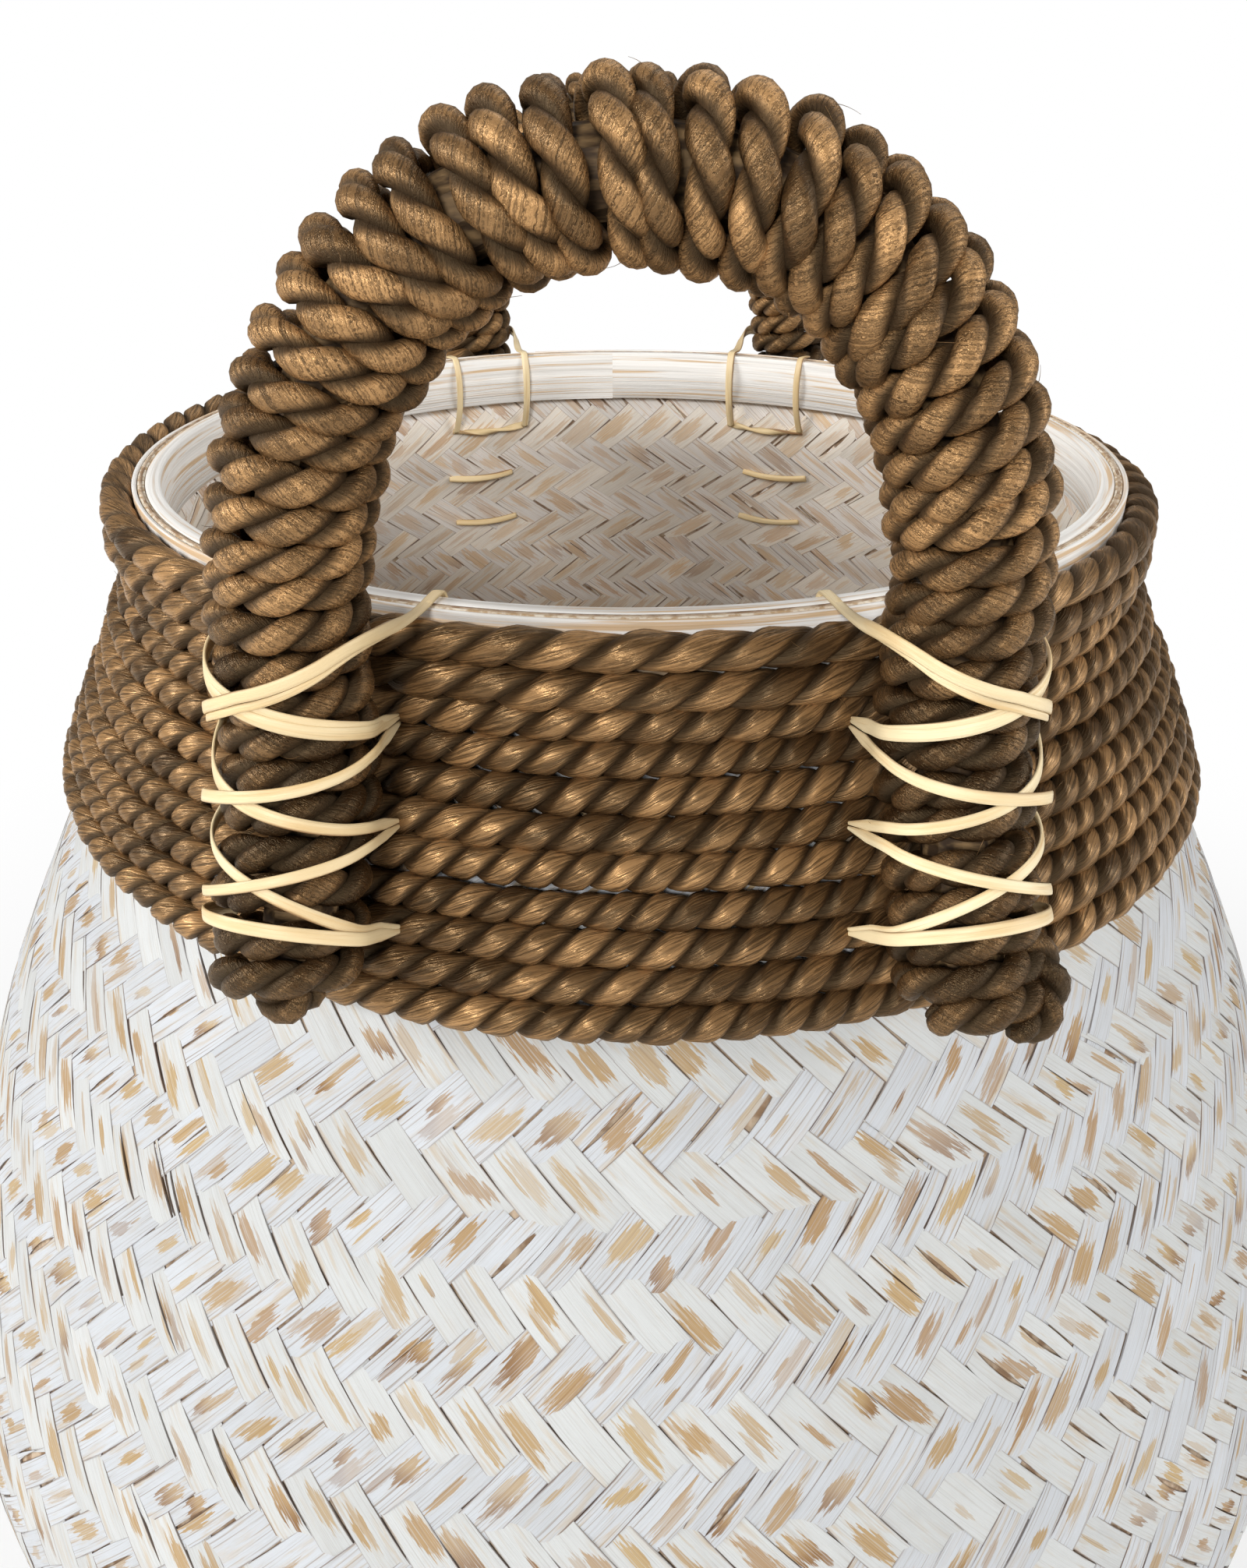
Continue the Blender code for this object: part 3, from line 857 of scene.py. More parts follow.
# A strand's shape: its middle off the rope's middle, its depth and its width
def twistedRope(name, path, outward, lays, sizes, shape, fibreTurn, seed, tones=0.5):
    lengths = lengthsAlong(path)
    at = np.linspace(0, lengths[-1], int(lengths[-1] / rope["ringStep"]))

    def there(value):
        return np.interp(at, lengths, np.broadcast_to(value, len(lengths)))

    middles, out = spread(lengths, path, at), spread(lengths, outward, at)
    ahead = unit(np.gradient(middles, axis=0))
    out = unit(out - ahead * np.sum(out * ahead, axis=1, keepdims=True))
    beside = np.cross(ahead, out)
    lay = there(lays) + slowNoise(at, *rope["layWander"])
    twist = seed - np.cumsum(np.gradient(at) / lay) * math.tau
    around = (np.arange(rope["sides"]) * math.tau / rope["sides"])[None]
    ends = np.clip(np.minimum(at, lengths[-1] - at) / rope["endTaper"], 0, 1)
    endSize = rope["endSize"] + (1 - rope["endSize"]) * np.sqrt(ends)
    offset, deep, broad = shape
    meshes = []
    for strand in range(2):
        turn = twist + math.pi * strand + slowNoise(at, *rope["turnWander"])
        radial = out * np.cos(turn)[:, None] + beside * np.sin(turn)[:, None]
        tangent = beside * np.cos(turn)[:, None] - out * np.sin(turn)[:, None]
        thick = there(sizes) * (1 + slowNoise(at, *rope["lumps"]) + slowNoise(at, *rope["swellings"]))
        thick = thick * (1 + rope["bulge"] * np.cos(turn))
        thick = (thick * endSize)[:, None]
        outside = (offset + deep * np.cos(around)) * thick
        sections = np.stack([outside, broad * np.sin(around) * thick], axis=-1)
        # crown: how far out a point lies on its strand; the rope's colour uses it for painted light on the
        # crowns and painted shade on the sides
        crown = (outside / thick / (offset + deep) - rope["crownFrom"]) / rope["crownSpan"]
        crown = np.clip(crown, 0, 1)
        spin = around + fibreTurn * twist[:, None]
        along = np.broadcast_to(at[:, None] + 20 * strand + seed, crown.shape)
        grain = np.stack([along, deep * np.cos(spin), deep * np.sin(spin)], axis=-1)
        tone = there(tones) + slowNoise(at, *rope["toneWander"])
        tone = np.broadcast_to(tone[:, None], crown.shape)
        paint = np.stack([tone, crown, np.full(crown.shape, strand), np.ones(crown.shape)], axis=-1)
        meshes.append(sweptMesh(name, middles, radial, tangent, sections, grain, paint))
    return joinMeshes(name, meshes)


# Loose fibres that stand off a rope
fibre = {
    "rings": 7,
    "sides": 3,
    "radius": 0.000085,
    "tipShrink": 0.6,
    "length": (0.002, 0.007),
    "fromRopeEnd": 40,
    "seat": 0.85,
    "lean": 1.3,
    "pull": (0.5, 1.2),
    "lift": (0.25, 0.6),
    "aside": 0.7,
    "bend": 0.0030,
    "droop": 0.0025,
    # tone, crown and strand of a loose fibre: a full crown, so it takes the painted light of a strand's crown
    "paint": (0.8, 1.0, 0.0, 1.0),
}


def looseFibres(name, path, outward, count):
    meshes = []
    ahead = unit(np.gradient(path, axis=0))
    rings = np.linspace(0, 1, fibre["rings"])
    shape = (fibre["rings"], fibre["sides"])
    around = np.arange(fibre["sides"]) * math.tau / fibre["sides"]
    radius = (fibre["radius"] * (1 - fibre["tipShrink"] * rings))[:, None]
    sections = np.stack([radius * np.cos(around), radius * np.sin(around)], axis=-1)
    paint = np.stack([np.full(shape, part) for part in fibre["paint"]], axis=-1)
    for i in dice.integers(fibre["fromRopeEnd"], len(path) - fibre["fromRopeEnd"], count):
        side = np.cross(ahead[i], outward[i])
        lean = swing(fibre["lean"])
        spoke = outward[i] * math.cos(lean) + side * math.sin(lean)
        way = unit(ahead[i] * dice.choice((-1, 1)) * dice.uniform(*fibre["pull"])
                   + spoke * dice.uniform(*fibre["lift"]) + side * swing(fibre["aside"]))
        length = dice.uniform(*fibre["length"])
        start = path[i] + spoke * rope["radius"] * fibre["seat"]
        bend = side * swing(fibre["bend"]) - spoke * dice.uniform(0.0, fibre["droop"])
        middles = start + way * (rings * length)[:, None] + bend * (rings ** 2)[:, None]
        first = unit(np.cross(way, (0.1, 0.2, 1.0)))
        axes = [np.broadcast_to(axis, middles.shape) for axis in (first, np.cross(way, first))]
        meshes.append(sweptMesh(name, middles, *axes, sections, np.zeros((*shape, 3)), paint))
    return meshes


ropeFinish = {
    "deep": (0.020, 0.0090, 0.0036),
    "middle": (0.066, 0.0310, 0.0115),
    "golden": (0.385, 0.215, 0.090),
    "gloss": (1.0, 0.74, 0.42),
    "specular": 0.55,
    "index": 1.6,
    "metal": 0.34,
    "relief": 0.00030,
    # fibre lines: along and across
    "fine": (70.0, 2600.0),
    "broad": (26.0, 820.0),
    "cloud": (45, 170, 170),
    # what the tone, the clouds and the crown add to the golden share, and where it starts; the crown's part
    # is painted light on each strand's crown
    "goldenTone": 0.70,
    "goldenCloud": 1.5,
    "paintedLightOnCrown": 0.80,
    "goldenStart": -1.34,
    "grooveDepth": 0.55,
    "fibreDepth": 0.62,
    "shadowDepth": 0.92,
    "level": (0.55, 0.72),
    # what the shadow and the fibres add to the roughness, and its least
    "shadowRough": 0.40,
    "fibreRough": (0.30, 0.15),
}


def makeRopeMaterial():
    finish = ropeFinish
    material, tree, shader = newMaterial("bronzeRope", specular=finish["specular"])
    shader.inputs["IOR"].default_value = finish["index"]
    shader.inputs["Specular Tint"].default_value = (*finish["gloss"], 1)
    grain = attribute(tree, "grain", "Vector")
    tone, crown = parts(tree, attribute(tree, "strip", "Color"))[:2]
    fine, broad = (fibreLine(tree, grain, finish[kind]) for kind in ("fine", "broad"))
    cloudy = noise(tree, stretched(tree, grain, finish["cloud"]), 1, 2)
    golden = fitted(tree, cloudy, finish["goldenCloud"], finish["goldenStart"])
    golden = fitted(tree, tone, finish["goldenTone"], golden)
    # painted light: the strands' crowns are made more golden
    golden = fitted(tree, crown, finish["paintedLightOnCrown"], golden)
    colour = mixed(tree, golden, finish["middle"], finish["golden"])
    groove = calc(tree, "ABSOLUTE", less(tree, broad, 0.5))
    groove = less(tree, 1.0, ramp(tree, groove, 0.004, 0.050))
    colour = mixed(tree, times(tree, groove, finish["grooveDepth"]), colour, finish["deep"])
    fibres = times(tree, ramp(tree, fine, 0.49, 0.62), finish["fibreDepth"])
    colour = mixed(tree, fibres, colour, finish["deep"])
    # painted shade: the strands' sides, down into the creases between them, go toward the deep colour
    shadow = less(tree, 1.0, crown)
    colour = mixed(tree, times(tree, shadow, finish["shadowDepth"]), colour, finish["deep"])
    level = fitted(tree, tone, *finish["level"])
    colour = mixed(tree, 1.0, colour, combine(tree, level, level, level), "MULTIPLY")
    feed(tree, shader.inputs["Base Color"], colour)
    feed(tree, shader.inputs["Metallic"], times(tree, crown, finish["metal"]))
    rough = fitted(tree, shadow, finish["shadowRough"], fitted(tree, fine, *finish["fibreRough"]))
    feed(tree, shader.inputs["Roughness"], rough)
    relief = fitted(tree, groove, -0.3, times(tree, fine, -1.0))
    bumped(tree, shader, relief, finish["relief"], 0.9)
    return material


ropeMaterial = makeRopeMaterial()

# The rope round the neck rests on the outer hoop and then on the wall
neck = {
    "turns": 11,
    "perTurn": 24,
    "spacing": 0.00795,
    "startDrop": 0.00085,
    "startAngle": math.radians(67.5),
    "hoopHeight": 0.0150,
    "hoopOutside": 0.1400,
    "profileStep": 0.0005,
    "contactStep": 0.00002,
    "pathPerTurn": 400,
    "meanRadius": 0.155,
    "stand": 0.0004,
    "strand": (0.00150, 0.00254, 0.00345),
    "fibreTurn": 0.85,
    "seed": 0.4,
    "skipped": 0.13,
    "looseFibres": 260,
    # slow changes along the rope: spacing and amount
    "dropWander": (0.09, 0.00050),
    "radiusWander": (0.07, 0.00050),
    # row by row, from the rim down
    "lays": (0.0250, 0.0245, 0.0225, 0.0175, 0.0165, 0.0190, 0.0175, 0.0165, 0.0150, 0.0200, 0.0185, 0.0160),
    "sizes": (1.05, 1.06, 1.10, 1.06, 1.05, 1.07, 1.05, 1.04, 0.99, 1.05, 1.03, 0.98),
}


def makeNeckPath():
    drops = np.arange(neck["startDrop"], basket["stationDrops"][-1], neck["profileStep"])
    reach = rope["radius"] + basket["seatGap"]
    near = np.arange(-reach, reach, neck["contactStep"])
    seatDrop = drops[:, None] + near[None]
    seat = np.where(seatDrop <= neck["hoopHeight"], neck["hoopOutside"], wallRadius(np.maximum(seatDrop, 0)))
    radii = np.max(seat + np.sqrt(reach ** 2 - near ** 2)[None], axis=1)
    lengths = summed(np.hypot(np.diff(drops), np.diff(radii)))
    places = []
    for i in range(neck["turns"] * neck["perTurn"] + 1):
        if i < neck["perTurn"]:
            places.append(np.interp(neck["spacing"] * i / neck["perTurn"], lengths, drops))
            continue
        above = places[i - neck["perTurn"]]
        apart = np.hypot(drops - above, radii - np.interp(above, drops, radii))
        below = drops > above
        places.append(np.interp(neck["spacing"], apart[below], drops[below]))
    turnPlaces = np.arange(len(places)) / neck["perTurn"]
    turns = np.linspace(0, neck["turns"], neck["turns"] * neck["pathPerTurn"])
    drop = np.interp(turns, turnPlaces, places)
    radius = np.interp(drop, drops, radii) + neck["stand"]
    angle = neck["startAngle"] + turns * math.tau
    run = turns * math.tau * neck["meanRadius"]
    drop = drop + slowNoise(run, *neck["dropWander"])
    radius = radius + slowNoise(run, *neck["radiusWander"])
    path = np.stack([radius * np.cos(angle), radius * np.sin(angle), basket["height"] - drop], axis=-1)
    outward = np.stack([np.cos(angle), np.sin(angle), np.zeros(len(angle))], axis=-1)
    return turns, path, outward, (drops, radii)


neckTurns, neckPath, neckOutward, neckSeat = makeNeckPath()


def makeNeckRope():
    # the first part of the first turn is left off: between the rear legs no rope shows above the rim
    first, half = int(np.searchsorted(neckTurns, neck["skipped"])), len(neckPath) // 2
    row = np.arange(len(neck["lays"]))
    for label, part in (("neckRopeUpper", slice(first, half + 1)), ("neckRopeLower", slice(half, None))):
        path, outward = neckPath[part], neckOutward[part]
        lays, sizes = (np.interp(neckTurns[part], row, neck[name]) for name in ("lays", "sizes"))
        mesh = twistedRope(label, path, outward, lays, sizes, neck["strand"], neck["fibreTurn"], neck["seed"])
        mesh = joinMeshes(label, [mesh] + looseFibres(label, path, outward, neck["looseFibres"]))
        placePiece(label, mesh, ropeMaterial, "twisted_rope", "neck_rope")
        print(label, len(mesh.polygons), "faces")


makeNeckRope()

# Each arch: a pole that lies against the wound neck, bound with the same rope
handle = {
    "coreRadius": 0.0075,
    "legX": 0.0632,
    "legLength": 0.0620,
    "splay": 0.0045,
    "splayPower": 1.5,
    "rise": 0.0815,
    "archPower": 2.2,
    "bend": 0.080,
    "endMargin": 0.0038,
    # how far each foot hangs below the pole, and its turns
    "feet": ((0.0030, 1.35), (0.0092, 2.35)),
    "footRadius": 0.0112,
    "footPower": 1.5,
    "footPerTurn": 90,
    "strand": (0.00160, 0.00232, 0.00285),
    # the wrap on the arch and on the legs, and the length over which it changes
    "change": 0.04,
    "pitch": 0.0071,
    "pitchOnLeg": 0.0083,
    "lay": 0.0182,
    "layOnLeg": 0.0192,
    "size": 0.95,
    "sizeOnLeg": 0.99,
    "fibreTurn": 2.4,
    "tone": 0.68,
    "toneOnLeg": -0.12,
    # the photographed arch stands a little askew: heights, and shifts of its left and right side
    "leanHeights": (0.344, 0.406, 0.500),
    "leanLeft": (-0.0019, -0.0017, 0.0013),
    "leanRight": (0.0000, -0.0003, 0.0013),
    "overhang": 0.012,
    "looseFibres": 80,
    "legPoints": 120,
    "archPoints": 260,
    "wrapPoints": 6000,
    # slow changes along the wrap: spacing and amount
    "reachWander": (0.03, 0.0005),
    "wander": (0.035, 0.0011),
}
strawFinish = {
    "dark": (0.045, 0.024, 0.010),
    "light": (0.26, 0.16, 0.07),
    "grain": (110, 500, 500),
    "rough": 0.5,
    "edge": (0.40, 0.70),
    "relief": 0.0004,
    "roughness": 0.7,
    "specular": 0.3,
}
wrapPathRadius = handle["coreRadius"] + basket["seatGap"] + rope["radius"]
wrapRadius = wrapPathRadius + rope["radius"] * handle["sizeOnLeg"]
# the plain rope of the solids has 10 points in a turn here and 24 round the neck
solidWrap = wrapPathRadius / math.cos(math.pi / 10)
solidNeck = 1 / math.cos(math.pi / neck["perTurn"])


def rolledOn(drops, radii, reach):
    apart = drops[:, None] - drops[None]
    ball = np.sqrt(np.clip(reach ** 2 - apart ** 2, 0, None))
    return np.max(np.where(np.abs(apart) < reach, radii[None] + ball, -np.inf), axis=1)


def makeLegProfile():
    bend = handle["bend"]
    drops = np.arange(-2 * bend, handle["legLength"] + 2 * bend, neck["profileStep"])
    band = np.interp(drops, neckSeat[0], neckSeat[1] * solidNeck) + rope["radius"]
    raised = rolledOn(drops, band, solidWrap + rope["radius"] + basket["seatGap"] + bend)
    return drops, -rolledOn(drops, -raised, bend)


legProfile = makeLegProfile()


def legSide(drop):
    share = np.clip(np.asarray(drop) / handle["legLength"], 0, None)
    return handle["legX"] + handle["splay"] * share ** handle["splayPower"]


def legY(drop):
    return np.sqrt(np.interp(drop, *legProfile) ** 2 - legSide(drop) ** 2)


def leanAt(height, side):
    share = np.clip((side + 1) / 2, 0, 1)
    left = np.interp(height, handle["leanHeights"], handle["leanLeft"])
    right = np.interp(height, handle["leanHeights"], handle["leanRight"])
    return left * (1 - share) + right * share


def makeHandlePath():
    down = np.linspace(handle["legLength"], 0, handle["legPoints"])[:-1]
    arc = np.linspace(math.pi, 0, handle["archPoints"])
    power = 2 / handle["archPower"]
    across = np.sign(np.cos(arc)) * np.abs(np.cos(arc)) ** power
    up = np.clip(np.sin(arc), 0, 1) ** power
    left = np.stack([-legSide(down), -legY(down), basket["height"] - down], axis=-1)
    over = np.stack([handle["legX"] * across, np.full(len(arc), -float(legY(0.0))),
                     basket["height"] + handle["rise"] * up], axis=-1)
    right = left[::-1] * np.array([-1, 1, 1])
    points = np.concatenate([left, over, right])
    points[:, 0] += leanAt(points[:, 2], points[:, 0] / handle["legX"])
    lengths = lengthsAlong(points)
    legRun, fullRun, beyond = lengths[len(left)], lengths[-1], handle["overhang"]
    first = points[0] + unit(points[0] - points[4]) * beyond
    last = points[-1] + unit(points[-1] - points[-5]) * beyond
    points = np.concatenate([[first], points, [last]])
    lengths = np.concatenate([[-beyond], lengths, [fullRun + beyond]])
    return points, lengths, legRun, fullRun


handlePoints, handleLengths, legRun, fullRun = makeHandlePath()


def handleAt(length):
    return spread(handleLengths, handlePoints, length)


# The rope closes each foot with more turns, drawn in under the pole's end; the right foot has one more
def closingTurns(foot, start):
    drop, turns = handle["feet"][foot]
    closing = np.linspace(1, 0, int(handle["footPerTurn"] * turns), endpoint=False)
    reach = wrapPathRadius + (handle["footRadius"] - wrapPathRadius) * closing ** handle["footPower"]
    return start - (start + drop) * closing, reach, math.tau * turns * closing


# A value of the wrap at places along the handle, between the arch's and the legs'
def wrapValue(name, at):
    fromLegTop = legRun + handle["change"] / 2 - np.minimum(at, fullRun - at)
    onLeg = np.clip(fromLegTop / handle["change"], 0, 1)
    return handle[name] + (handle[name + "OnLeg"] - handle[name]) * onLeg


def wrapPath():
    start = rope["radius"] + handle["endMargin"]
    at = np.linspace(start, fullRun - start, handle["wrapPoints"])
    turn = np.cumsum(np.gradient(at) / wrapValue("pitch", at)) * math.tau
    print("handle wrap turns", round(turn[-1] / math.tau, 1))
    leftAt, leftReach, leftTurn = closingTurns(0, start)
    rightAt, rightReach, rightTurn = (part[::-1] for part in closingTurns(1, start))
    reach = wrapPathRadius + slowNoise(turn * wrapPathRadius, *handle["reachWander"])
    reach = np.concatenate([leftReach, reach, rightReach])
    at = np.concatenate([leftAt, at, fullRun - rightAt])
    turn = np.concatenate([turn[0] - leftTurn, turn, turn[-1] + rightTurn])
    step = handle["coreRadius"]
    ahead = unit(handleAt(at + step) - handleAt(at - step))
    front = np.array([0.0, -1.0, 0.0])
    out = unit(front - ahead * (ahead @ front)[:, None])
    side = np.cross(ahead, out)
    spoke = out * np.cos(turn)[:, None] + side * np.sin(turn)[:, None]
    wander = slowNoise(turn * wrapPathRadius, *handle["wander"])
    path = handleAt(at) + spoke * reach[:, None] + ahead * wander[:, None]
    return path, spoke, *(wrapValue(name, at) for name in ("lay", "size", "tone"))


def legMiddle(drop, side):
    height = basket["height"] - drop
    across = side * float(legSide(drop)) + float(leanAt(height, side))
    return np.array([across, -float(legY(drop)), height])


# The rear pieces are the front ones turned round
def turnedRound(places, face):
    return places * np.array([face, face, 1.0])


# The rope's tail hangs below the left foot and stands beside the right one
tail = {
    "left": ((-0.0044, -0.0060, 0.0010), (-0.0020, -0.0085, -0.0016), (0.0016, -0.0096, -0.0030),
             (0.0050, -0.0085, -0.0020), (0.0074, -0.0060, 0.0004)),
    "right": ((0.0060, -0.0125, -0.0065), (0.0110, -0.0115, -0.0068), (0.0148, -0.0080, -0.0040),
              (0.0155, -0.0045, 0.0008), (0.0128, -0.0015, 0.0048), (0.0080, 0.0015, 0.0050)),
    "size": 0.92,
    "lay": 0.0170,
    "points": 60,
    "outward": (0.0, -1.0, -0.2),
    "seed": 0.8,
}


def ropeTail(name, side, face):
    stops = np.array(tail["left"] if side < 0 else tail["right"])
    lengths = lengthsAlong(stops)
    foot = legMiddle(handle["legLength"], side)
    path = foot + softened(lengths, stops, np.linspace(0, lengths[-1], tail["points"]))
    outward = np.broadcast_to(np.array(tail["outward"]), path.shape)
    return twistedRope(name, turnedRound(path, face), turnedRound(outward, face), tail["lay"], tail["size"],
                       handle["strand"], handle["fibreTurn"], tail["seed"], handle["toneOnLeg"])


def makeHandles():
    frontPath, frontSpoke, lays, sizes, tones = wrapPath()
    for prefix, face, seed in (("front", 1, 0.0), ("rear", -1, 2.1)):
        label = prefix + "HandleRope"
        path, spoke = turnedRound(frontPath, face), turnedRound(frontSpoke, face)
        mesh = twistedRope(label, path, spoke, lays, sizes, handle["strand"], handle["fibreTurn"],
                           seed, tones)
        tails = [ropeTail(label, side, face) for side in (-1, 1)]
        fibres = looseFibres(label, path, spoke, handle["looseFibres"])
        mesh = joinMeshes(label, [mesh] + tails + fibres)
        placePiece(label, mesh, ropeMaterial, "twisted_rope", prefix + "_handle_wrap")
        print(label, len(mesh.polygons), "faces")
    straw = makeGrainedMaterial("strawCore", strawFinish)
    for prefix in ("front", "rear"):
        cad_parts[prefix + "_handle_core"].material_slots[0].material = straw


makeHandles()
print("ropes made")

# Rim hoops of split bamboo, bent round with lapped ends at the back
hoops = {
    "innerThickness": 0.0040,
    "innerHeight": 0.0170,
    "outerThickness": 0.0012,
    "outerHeight": 0.0150,
    "edgeRound": 0.0004,
    "lapAngle": math.radians(182.6),
    "lapLength": 0.030,
    "paredEnd": 0.12,
    "rings": 320,
    "wave": (0.06, 0.00030),
    "sharpAngle": math.radians(50),
}
hoopFinish = {
    "wash": (0.880, 0.855, 0.812),
    "tan": (0.640, 0.430, 0.230),
    "grey": (0.570, 0.535, 0.490),
    "roughness": 0.55,
    "specular": 0.4,
    "relief": 0.0005,
    # fibre lines: along and across
    "fine": (16.0, 1900.0),
    "broad": (7.0, 420.0),
    "streak": (13.0, 560.0),
    "streakStretch": (1, 1, 7),
    "streakDepth": 0.90,
    "lineDepth": 0.45,
    # what weathering adds to the streaks and to the grey
    "weatheredStreak": 0.16,
    "leastGrey": 0.15,
}


def makeHoopMaterial():
    finish = hoopFinish
    material, tree, shader = newMaterial("whitewashedHoop", finish["roughness"], finish["specular"])
    grain = attribute(tree, "grain", "Vector")
    fine, broad = (fibreLine(tree, grain, finish[kind]) for kind in ("fine", "broad"))
    streak = fibreLine(tree, stretched(tree, grain, finish["streakStretch"]), finish["streak"])
    weathered = parts(tree, attribute(tree, "strip", "Color"))[0]
    greyed = times(tree, ramp(tree, broad, 0.46, 0.68), calc(tree, "ADD", weathered, finish["leastGrey"]))
    colour = mixed(tree, greyed, finish["wash"], finish["grey"])
    streak = ramp(tree, fitted(tree, weathered, finish["weatheredStreak"], streak), 0.59, 0.72)
    colour = mixed(tree, times(tree, streak, finish["streakDepth"]), colour, finish["tan"])
    lines = times(tree, ramp(tree, fine, 0.58, 0.76), finish["lineDepth"])
    feed(tree, shader.inputs["Base Color"], mixed(tree, lines, colour, finish["tan"]))
    bumped(tree, shader, fitted(tree, fine, 0.5, broad), finish["relief"], 0.7)
    return material


def hoopSection(thickness, height):
    r = hoops["edgeRound"]
    low = -height
    return np.array([(0, low + r), (r, low), (thickness - r, low), (thickness, low + r),
                     (thickness, low / 2), (thickness, -r), (thickness - r / 3, -r / 3), (thickness - r, 0),
                     (r, 0), (r / 3, -r / 3), (0, -r), (0, low / 2)])


def hoopMesh(name, inside, thickness, height, seed, weathered):
    outline = hoopSection(thickness, height)
    rings = hoops["rings"]
    shape = (rings, len(outline))
    lap = hoops["lapLength"] / inside
    turn = np.linspace(0, math.tau + lap, rings)
    azimuth = hoops["lapAngle"] + turn
    run = turn * inside
    section = np.broadcast_to(outline, (*shape, 2)).copy()
    section[:, :, 1] += slowNoise(run, *hoops["wave"])[:, None] * (section[:, :, 1] > -height / 2)
    # each end is pared down where the two lie on each other
    thin = np.clip(np.minimum(turn, math.tau + lap - turn) / lap, hoops["paredEnd"], 1)
    share = section[:, :, 0] / thickness
    width = thickness * thin[:, None]
    outerEnd = (turn > math.pi)[:, None]
    section[:, :, 0] = np.where(outerEnd, thickness - width * (1 - share), width * share)
    radial = np.stack([np.sin(azimuth), -np.cos(azimuth), np.zeros(rings)], axis=-1)
    upward = np.broadcast_to(np.array([0, 0, 1.0]), radial.shape)
    middles = radial * inside + upward * basket["height"]
    edge = summed(np.hypot(*np.diff(outline, axis=0).T))
    grain = np.stack([np.broadcast_to(run[:, None], shape), np.broadcast_to(edge[None], shape),
                      np.full(shape, seed)], axis=-1)
    return sweptMesh(name, middles, radial, upward, section, grain, np.full((*shape, 4), weathered))


def makeHoops():
    material = makeHoopMaterial()
    wallInside = basket["stationRadii"][0] - basket["wallThickness"]
    inner = wallInside - basket["seatGap"] - hoops["innerThickness"]
    outer = basket["stationRadii"][0] + basket["seatGap"]
    for label, node, inside, thickness, height, seed, weathered in (
            ("innerHoop", "inner_rim_hoop", inner, hoops["innerThickness"], hoops["innerHeight"], 0.3, 0.45),
            ("outerHoop", "outer_rim_hoop", outer, hoops["outerThickness"], hoops["outerHeight"], 0.9, 0.85)):
        mesh = hoopMesh(label, inside, thickness, height, seed, weathered)
        piece = placePiece(label, mesh, material, "whitewashed_hoop", node)
        piece.data.set_sharp_from_angle(angle=hoops["sharpAngle"])


makeHoops()
print("hoops made")

# Rattan splits: lacing round each leg, staples over the rim and stitches inside
lace = {
    "width": 0.0026,
    "thickness": 0.00070,
    # a split's section, in shares of its width and thickness
    "section": ((-0.50, 0.0), (-0.44, 0.36), (-0.20, 0.50), (0.20, 0.50), (0.44, 0.36), (0.50, 0.0),
                (0.44, -0.40), (-0.44, -0.40)),
    "ringStep": 0.0009,
    "leastRings": 6,
    "narrowing": 0.010,
    # slow changes along a split: spacing and amount
    "turnWander": (0.02, 0.14),
    "widthWander": (0.03, 0.10),
    "lift": 0.00095,
    "legPoints": 17,
    "jitter": 0.0006,
    "innerAngle": math.radians(62),
    # drops beside the leg, in front of it, and at its inner side; the hole's drop; where it ends
    # beside the leg; width; and how many splits it lies over
    "strands": (
        (0.0030, 0.0105, 0.0172, 0.0226, 128, 1.05, 0.5),
        (0.0012, 0.0078, 0.0158, 0.0220, 128, 0.60, 0.2),
        (0.0310, 0.0265, 0.0178, 0.0238, 68, 1.00, 1.6),
        (0.0220, 0.0324, 0.0358, 0.0426, 128, 1.00, 0.4),
        (0.0495, 0.0450, 0.0370, 0.0434, 128, 0.90, 1.6),
        (0.0380, 0.0477, 0.0556, 0.0626, 128, 0.95, 0.4),
        (0.0535, 0.0534, 0.0560, 0.0634, 128, 1.10, 1.3),
    ),
    # angles and drops of the pair of splits that comes over the rim
    "rimStrand": ((-40, -0.0035), (-22, -0.0015), (25, 0.0040), (72, 0.0120), (128, 0.0180)),
    "innerStrand": 0.0212,
    "outerStrand": 0.0053,
    "stapleDrop": 0.0270,
    "stitchDrops": (0.0480, 0.0700),
    "stitchInner": 0.0152,
    "stitchOuter": 0.0093,
    "stitchPoints": 9,
    "stitchLift": 0.0004,
    "stitchDip": 0.0011,
    "stitchSag": 0.0012,
    "holes": (0.0488, 0.0455),
    # a cut end stands off the leg over the last part of its turn
    "cutEndLift": 0.0012,
    "cutEndAngle": 25,
    # the share of the way to the hole where a split leaves the leg
    "leaving": 0.72,
    "plainWidth": 0.95,
    # the two splits over the rim: distance apart, width and layer
    "pair": ((0, 1.00, 2.0), (0.0027, 0.60, 1.3)),
}
splitFinish = {
    "pale": (0.850, 0.715, 0.455),
    "straw": (0.680, 0.475, 0.225),
    "dark": (0.270, 0.145, 0.060),
    "roughness": 0.42,
    "specular": 0.5,
    "relief": 0.0003,
    # fibre lines: along and across
    "fine": (30.0, 3200.0),
    "broad": (28.0, 500.0),
    "lineDepth": 0.50,
    "toneDepth": 0.60,
}


